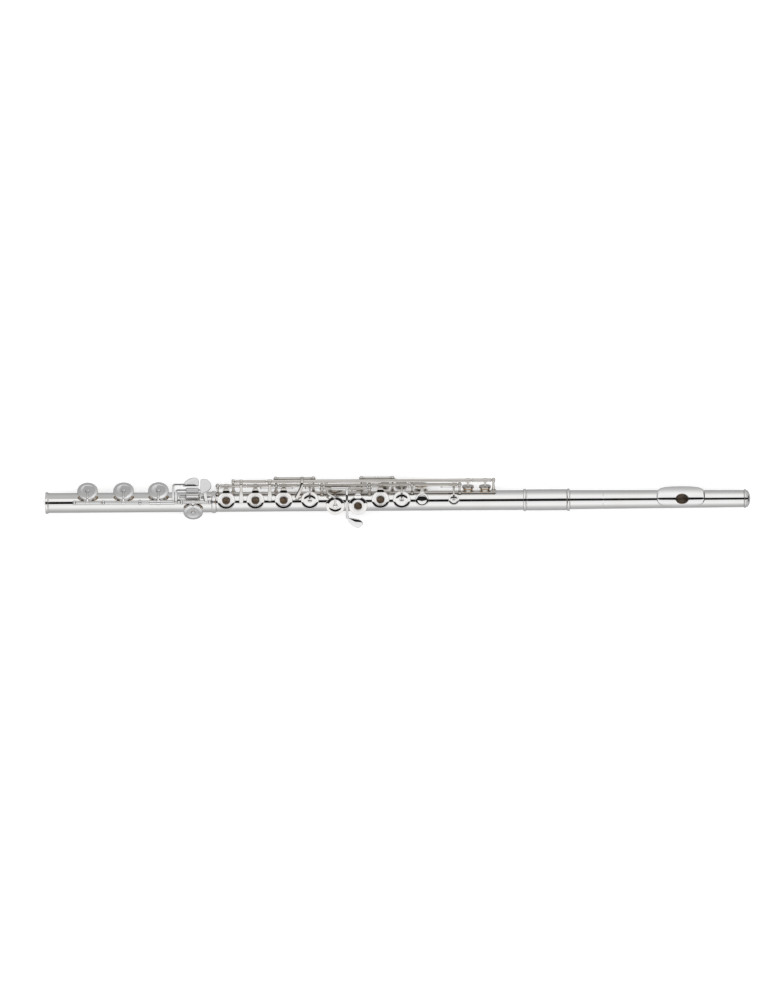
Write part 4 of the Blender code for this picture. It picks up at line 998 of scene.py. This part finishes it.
def make_trill_keys():
    y, z = TRILL_HINGE
    sleeve_start, ring_width = 426.0, 4.2
    for name, touch, front, tubes in (
        ("d_trill", 224.5, 1.5, [key_tube(221.6, 425.4, TRILL_HINGE)]),
        ("d_sharp_trill", 196.0, -0.5, [bar(TRILL_POSTS[0] - 1.2, TRILL_POSTS[1] + 1.2, STEEL_R, TRILL_HINGE),
                                        key_tube(190.2, 221.0, TRILL_HINGE, bore=0),
                                        key_tube(sleeve_start, 445.8, TRILL_HINGE, bore=0)]),
    ):
        lever = strip([(touch, y - 0.4, z + KEY_TUBE_R - 0.4, 3.2, 1.3), (touch, y - 1.5, z + 5.0, 2.8, 1.3),
                       (touch, front + 10, z + 3.5, 2.8, 1.3), (touch, front + 7, z + 3.0, 3.9, 1.3),
                       (touch, front, z + 1.8, 4.1, 1.3)], soft=2.0, square=0.85)
        ring_at = HOLES[name].station - 0.2
        if name == "d_sharp_trill":
            ring_at = max(HOLES[name].station, sleeve_start + ring_width / 2 + 0.2)
        piece(f"{name}_key", "key", [*tubes, cup_shape(name), hub_ring(touch, TRILL_HINGE),
                                     hub_ring(ring_at, TRILL_HINGE), *hole_arm(name), lever])
        make_pad(name)


def make_side_lever():
    y, z = SIDE_HINGE
    touch = [(256.8, y + 0.6, z + 1.0, 3.2, 1.3), (256.8, y + 0.9, z + 4.0, 3.0, 1.3),
             (256.8, y - 0.8, z + 7.4, 3.0, 1.3), (256.8, 18.9, 17.9, 2.8, 1.3),
             (256.4, 14.4, 17.3, 3.2, 1.3), (251.0, 3.4, 15.4, 4.0, 1.2)]
    piece("side_b_flat_lever", "key", [key_tube(232.4, 266.1, SIDE_HINGE), hub_ring(256.8, SIDE_HINGE),
                                       strip(touch, soft=2.0, square=0.85)])


def make_thumb_keys():
    y, z = SIDE_HINGE
    arm = swung_strip([(341.6, 21.8, 2.8, 3.0, 1.3), (347.0, 20.8, 2.0, 3.0, 1.3), (355.0, 18.6, 0.6, 3.0, 1.3),
                       (367.0, 16.4, -0.3, 2.8, 1.3), (375.5, 15.5, -0.5, 2.0, 1.2)], SIDE_HINGE, THUMB_OPEN,
                      across=(0, 0, 1))
    drop = swung_strip([(342.8, y, z - KEY_TUBE_R + 0.4, 3.0, 1.3), (342.8, 21.6, 2.2, 3.0, 1.3)],
                       SIDE_HINGE, THUMB_OPEN)

    def touch(station, width):
        return strip([(station, 20.7, 0.4, width * 0.3, 1.3), (station, 20.2, -1.8, width * 0.4, 1.3),
                      (station, 18.4, -5.2, width * 0.8, 1.2), (station, 15.2, -8.6, width, 1.2),
                      (station, 11.6, -10.3, width * 0.7, 1.2)], soft=3.0, sides=24)

    piece("thumb_key", "key", [key_tube(331.2, 345.2, SIDE_HINGE), cup_shape("thumb"), nub("thumb", 1.5), drop,
                               arm, touch(356.0, 13.0)])
    make_pad("thumb")
    lever = strip([(325.5, y, z - KEY_TUBE_R + 0.4, 3.0, 1.3), (325.5, 22.4, 4.0, 3.0, 1.3),
                   (333.0, 21.4, 0.6, 3.0, 1.3), (340.0, 20.2, -2.4, 3.0, 1.3)], across=(1, 0, 1))
    piece("thumb_b_flat_lever", "key", [key_tube(317.8, 330.6, SIDE_HINGE), lever, touch(339.6, 10.0)])


# ---- foot keys
def low_cup(name, tubes, hub):
    return [*tubes, cup_shape(name), hub_ring(HOLES[name].station, FOOT_HINGE, hub), *hole_arm(name, hub=hub),
            spring_hook(name)]


def lever_rail(root, hub, reach):
    rise = (reach - hub) * 0.14
    return [strip([(root, hub - 0.3, LEVER_Z + rise, 2.3, 1.6), (root, reach - 1.2, LEVER_Z + 0.2, 2.2, 1.5),
                   (root + 1.2, reach, LEVER_Z, 2.0, 1.4), (PLATE_START + 2.4, reach, LEVER_Z, 1.8, 1.4)],
                  across=(0.7, 0.7, 0), soft=1.5, square=0.6)]


def roller_cradle(reach):
    low, left, right = LEVER_Z - 3.5, PLATE_START + 2.2, PLATE_STOP + 0.9
    ears = [strip([(ear, reach, LEVER_Z + 0.6, 0.9, 2.0), (ear, reach, low - 0.3, 0.9, 2.0)])
            for ear in (left, right)]
    return [*ears, strip([(left, reach, low, 1.6, 0.8), (right, reach, low, 1.6, 0.8)], across=(0, 1, 0)),
            bar(left - 0.5, right + 0.5, 0.8, (reach, LEVER_Z))]


def make_low_keys():
    low_b_reach, low_c_reach, spade_reach = 6.4, 12.0, 17.6
    posts = FOOT_POSTS
    piece("low_b_key", "foot_key", [
        *low_cup("low_b", [bar(posts[0] - 1.4, posts[3] - 0.3, STEEL_R, FOOT_HINGE),
                           key_tube(posts[0] + 1.6, posts[1] - 1.6, FOOT_HINGE, bore=0),
                           bar(132.6, 134.9, KEY_TUBE_R, FOOT_HINGE)], KEY_TUBE_R),
        *lever_rail(133.8, KEY_TUBE_R, low_b_reach), *roller_cradle(low_b_reach)])
    piece("low_c_key", "foot_key", [
        *low_cup("low_c", [pipe(posts[1] + 1.6, 132.0, LOW_C_TUBE_R, LOW_C_TUBE_BORE, FOOT_HINGE)],
                 LOW_C_TUBE_R),
        *lever_rail(131.0, LOW_C_TUBE_R, low_c_reach), *roller_cradle(low_c_reach)])
    spade = [(PLATE_START, 15.6), (PLATE_START, 17.4), (140.2, 21.0), (144.4, 23.8), (149.0, 24.9),
             (152.4, 24.2), (PLATE_STOP, 22.2), (PLATE_STOP, 15.6)]
    piece("low_c_sharp_key", "foot_key", [
        *low_cup("low_c_sharp", [key_tube(104.5, 129.4, FOOT_HINGE, LOW_C_SHARP_TUBE_R, LOW_C_SHARP_TUBE_BORE,
                                          0.12)], LOW_C_SHARP_TUBE_R),
        *lever_rail(128.2, LOW_C_SHARP_TUBE_R, spade_reach),
        blade(spade, LEVER_Z - 0.6, LEVER_Z + 0.6, soft=1.5, place=swung((15.0, LEVER_Z), PLATE_LEAN - 3.0))])
    for name in ("low_b", "low_c", "low_c_sharp"):
        make_pad(name)
    for name, reach in (("low_b", low_b_reach), ("low_c", low_c_reach)):
        half = [(ROLLER_BORE, 0), (ROLLER_R - 0.5, 0), (ROLLER_R, 0.9)]
        piece(f"{name}_roller", "foot_key", [
            along_tube(both_ends(half, PLATE_START + 3.1, PLATE_STOP), (reach, LEVER_Z), soft=0.3)])


def make_d_sharp_key():
    touch = [(155.4, 7.6), (155.4, 22.4), (157.6, 23.7), (162.0, 23.3), (165.6, 19.6), (166.4, 15.2),
             (164.4, 11.4), (160.2, 9.0)]
    lever = strip([(160.6, KEY_TUBE_R - 0.6, LEVER_Z + 0.9, 3.4, 1.3), (159.4, 11.0, LEVER_Z - 0.6, 4.4, 1.3)],
                  square=0.95)
    touch_plate = blade(touch, LEVER_Z - 0.6, LEVER_Z + 0.6, dome=0.0, soft=1.6,
                        place=swung((9.0, LEVER_Z), PLATE_LEAN - 4.0))
    make_cup_key("d_sharp", key_tube(FOOT_POSTS[3] + 1.5, FOOT_POSTS[4] - 1.5, FOOT_HINGE),
                 extra=(lever, touch_plate), look="foot_key")


# ---- setting
def sheet(name, corners, look):
    """One flat piece of the studio."""
    mesh = bpy.data.meshes.new(name)
    mesh.from_pydata(corners, [], [(0, 1, 2, 3)])
    mesh.materials.append(look.made)
    made = placed(name, mesh)
    return made


def card(name, corners, look):
    """A sheet that only reflections see."""
    made = sheet(name, corners, look)
    made.visible_camera = made.visible_shadow = made.visible_diffuse = False


TABLE_HALF, TABLE_GLOW = 4.0, 0.28


def make_table():
    """A wide pale sheet, softly lit from below, that the flute lies on."""
    look = Look("white_paper", Specular_IOR_Level=0.1, Emission_Color=(1, 1, 1, 1),
                Emission_Strength=TABLE_GLOW)
    look.shade({"Base Color": look.mixed(look.noise(300.0), (0.90, 0.90, 0.90, 1), (0.93, 0.93, 0.93, 1)),
                "Roughness": look.mapped(look.noise(500.0), 0.3, 0.7, 0.75, 0.85)})
    far = TABLE_HALF
    table = sheet("table", [(-far, -far, 0), (far, -far, 0), (far, far, 0), (-far, far, 0)], look)
    table.visible_glossy = False


BOX_HEIGHT, BOX_WIDTH, BOX_LENGTH, BOX_ENERGY = 1.0, 1.5, 2.6, 8.0
SLIT_REACH, SLIT_HALF = 1.6, 0.245
# How bright the studio is in each direction: degrees from straight up, and grey level.
STUDIO = ((180, 0.30), (148, 0.36), (118, 0.43), (98, 0.49), (82, 0.60), (68, 0.78), (50, 0.98), (32, 0.93),
          (17, 0.84), (0, 0.80))
STUDIO_LEAN, STUDIO_BLUE = radians(3.0), 1.005
# A grey card beside the foot, on the player's side: how far off, between which turns, and its two ends.
CARD_REACH, CARD_TURNS, CARD_START, CARD_END, CARD_GREY = 0.7, (46.0, 92.0), -1.2, -0.215, 0.46
# Dark cards beyond both ends draw the edges that face along the flute: how far off, and their extent.
END_REACH, END_HALF, END_LOW, END_TOP = 1.15, 1.0, -0.2, 0.62


def make_cards():
    cloth = Look("black_cloth", Base_Color=(0.003, 0.003, 0.003, 1))
    cloth.shade({"Roughness": cloth.mapped(cloth.noise(200.0), 0.3, 0.7, 0.9, 1.0)})
    far, half, high = SLIT_REACH, SLIT_HALF, BOX_HEIGHT + 0.01
    card("dark_card", [(-far, -half, high), (far, -half, high), (far, half, high), (-far, half, high)], cloth)
    for x, name in ((-END_REACH, "foot_end_card"), (END_REACH, "crown_end_card")):
        card(name, [(x, -END_HALF, END_LOW), (x, END_HALF, END_LOW), (x, END_HALF, END_TOP),
                    (x, -END_HALF, END_TOP)], cloth)
    grey = Look("grey_cloth", Base_Color=(0.02, 0.02, 0.02, 1),
                Emission_Color=(CARD_GREY, CARD_GREY, CARD_GREY, 1))
    grey.shade({"Emission Strength": grey.mapped(grey.noise(90.0), 0.3, 0.7, 0.97, 1.03)})
    near, far = (polar(turn, CARD_REACH) for turn in CARD_TURNS)
    card("foot_card", [(CARD_START, *near), (CARD_END, *near), (CARD_END, *far), (CARD_START, *far)], grey)


def make_lights():
    """A soft studio dome, bright overhead; two softboxes fill the table on both sides of the dark card."""
    for side, name in ((-1, "softbox_near"), (1, "softbox_far")):
        lamp = bpy.data.lights.new(name, "AREA")
        lamp.shape, lamp.size, lamp.size_y, lamp.energy = "RECTANGLE", BOX_LENGTH, BOX_WIDTH, BOX_ENERGY
        made = placed(name, lamp)
        made.location = (0, side * (SLIT_HALF + BOX_WIDTH / 2), BOX_HEIGHT)
        made.visible_camera = made.visible_glossy = False
    world = bpy.data.worlds.new("studio")
    world.use_nodes = True
    studio = Nodes(world.node_tree)
    place = studio.add("ShaderNodeTexCoord", {}).outputs["Generated"]
    rise = studio.vector("DOT_PRODUCT", place, (0, -sin(STUDIO_LEAN), cos(STUDIO_LEAN)))["Value"]
    height = studio.add("ShaderNodeMapRange", {"Value": rise, "From Min": -1.0}).outputs["Result"]
    ramp = studio.add("ShaderNodeValToRGB", {"Fac": height})
    ramp.color_ramp.interpolation = "B_SPLINE"
    while len(ramp.color_ramp.elements) < len(STUDIO):
        ramp.color_ramp.elements.new(0.5)
    for stop, (angle, grey) in zip(ramp.color_ramp.elements, STUDIO):
        stop.position = (1 + cos(radians(angle))) / 2
        stop.color = (grey, grey, grey * STUDIO_BLUE, 1)
    studio.feed(studio.tree.nodes["Background"], {"Color": ramp.outputs["Color"]})
    bpy.context.scene.world = world


CAMERA_HEIGHT, FIELD_HEIGHT, SENSOR = 8.0, 1.0, 36.0
CAMERA_X, CAMERA_Y, CAMERA_ROLL = -0.0124, 0.00215, -0.370


def make_camera():
    lens = bpy.data.cameras.new("camera")
    lens.sensor_width = SENSOR
    lens.lens = SENSOR * (CAMERA_HEIGHT - AXIS_Z * MM) / FIELD_HEIGHT
    lens.clip_end = 50.0
    made = placed("camera", lens)
    made.location = (CAMERA_X, CAMERA_Y, CAMERA_HEIGHT)
    made.rotation_euler = (0, 0, radians(CAMERA_ROLL))
    bpy.context.scene.camera = made
    bpy.context.scene.view_settings.view_transform = "Standard"


make_foot_tube()
make_body_tube()
make_barrel()
make_head()
make_lip_plate()
make_crown_and_stopper()
make_body_posts()
make_foot_posts()
make_steels()
make_springs()
make_main_line_keys()
make_connecting_tube()
make_c_key()
make_g_keys()
make_g_sharp_key()
make_trill_keys()
make_side_lever()
make_thumb_keys()
make_low_keys()
make_d_sharp_key()
make_table()
make_cards()
make_lights()
make_camera()
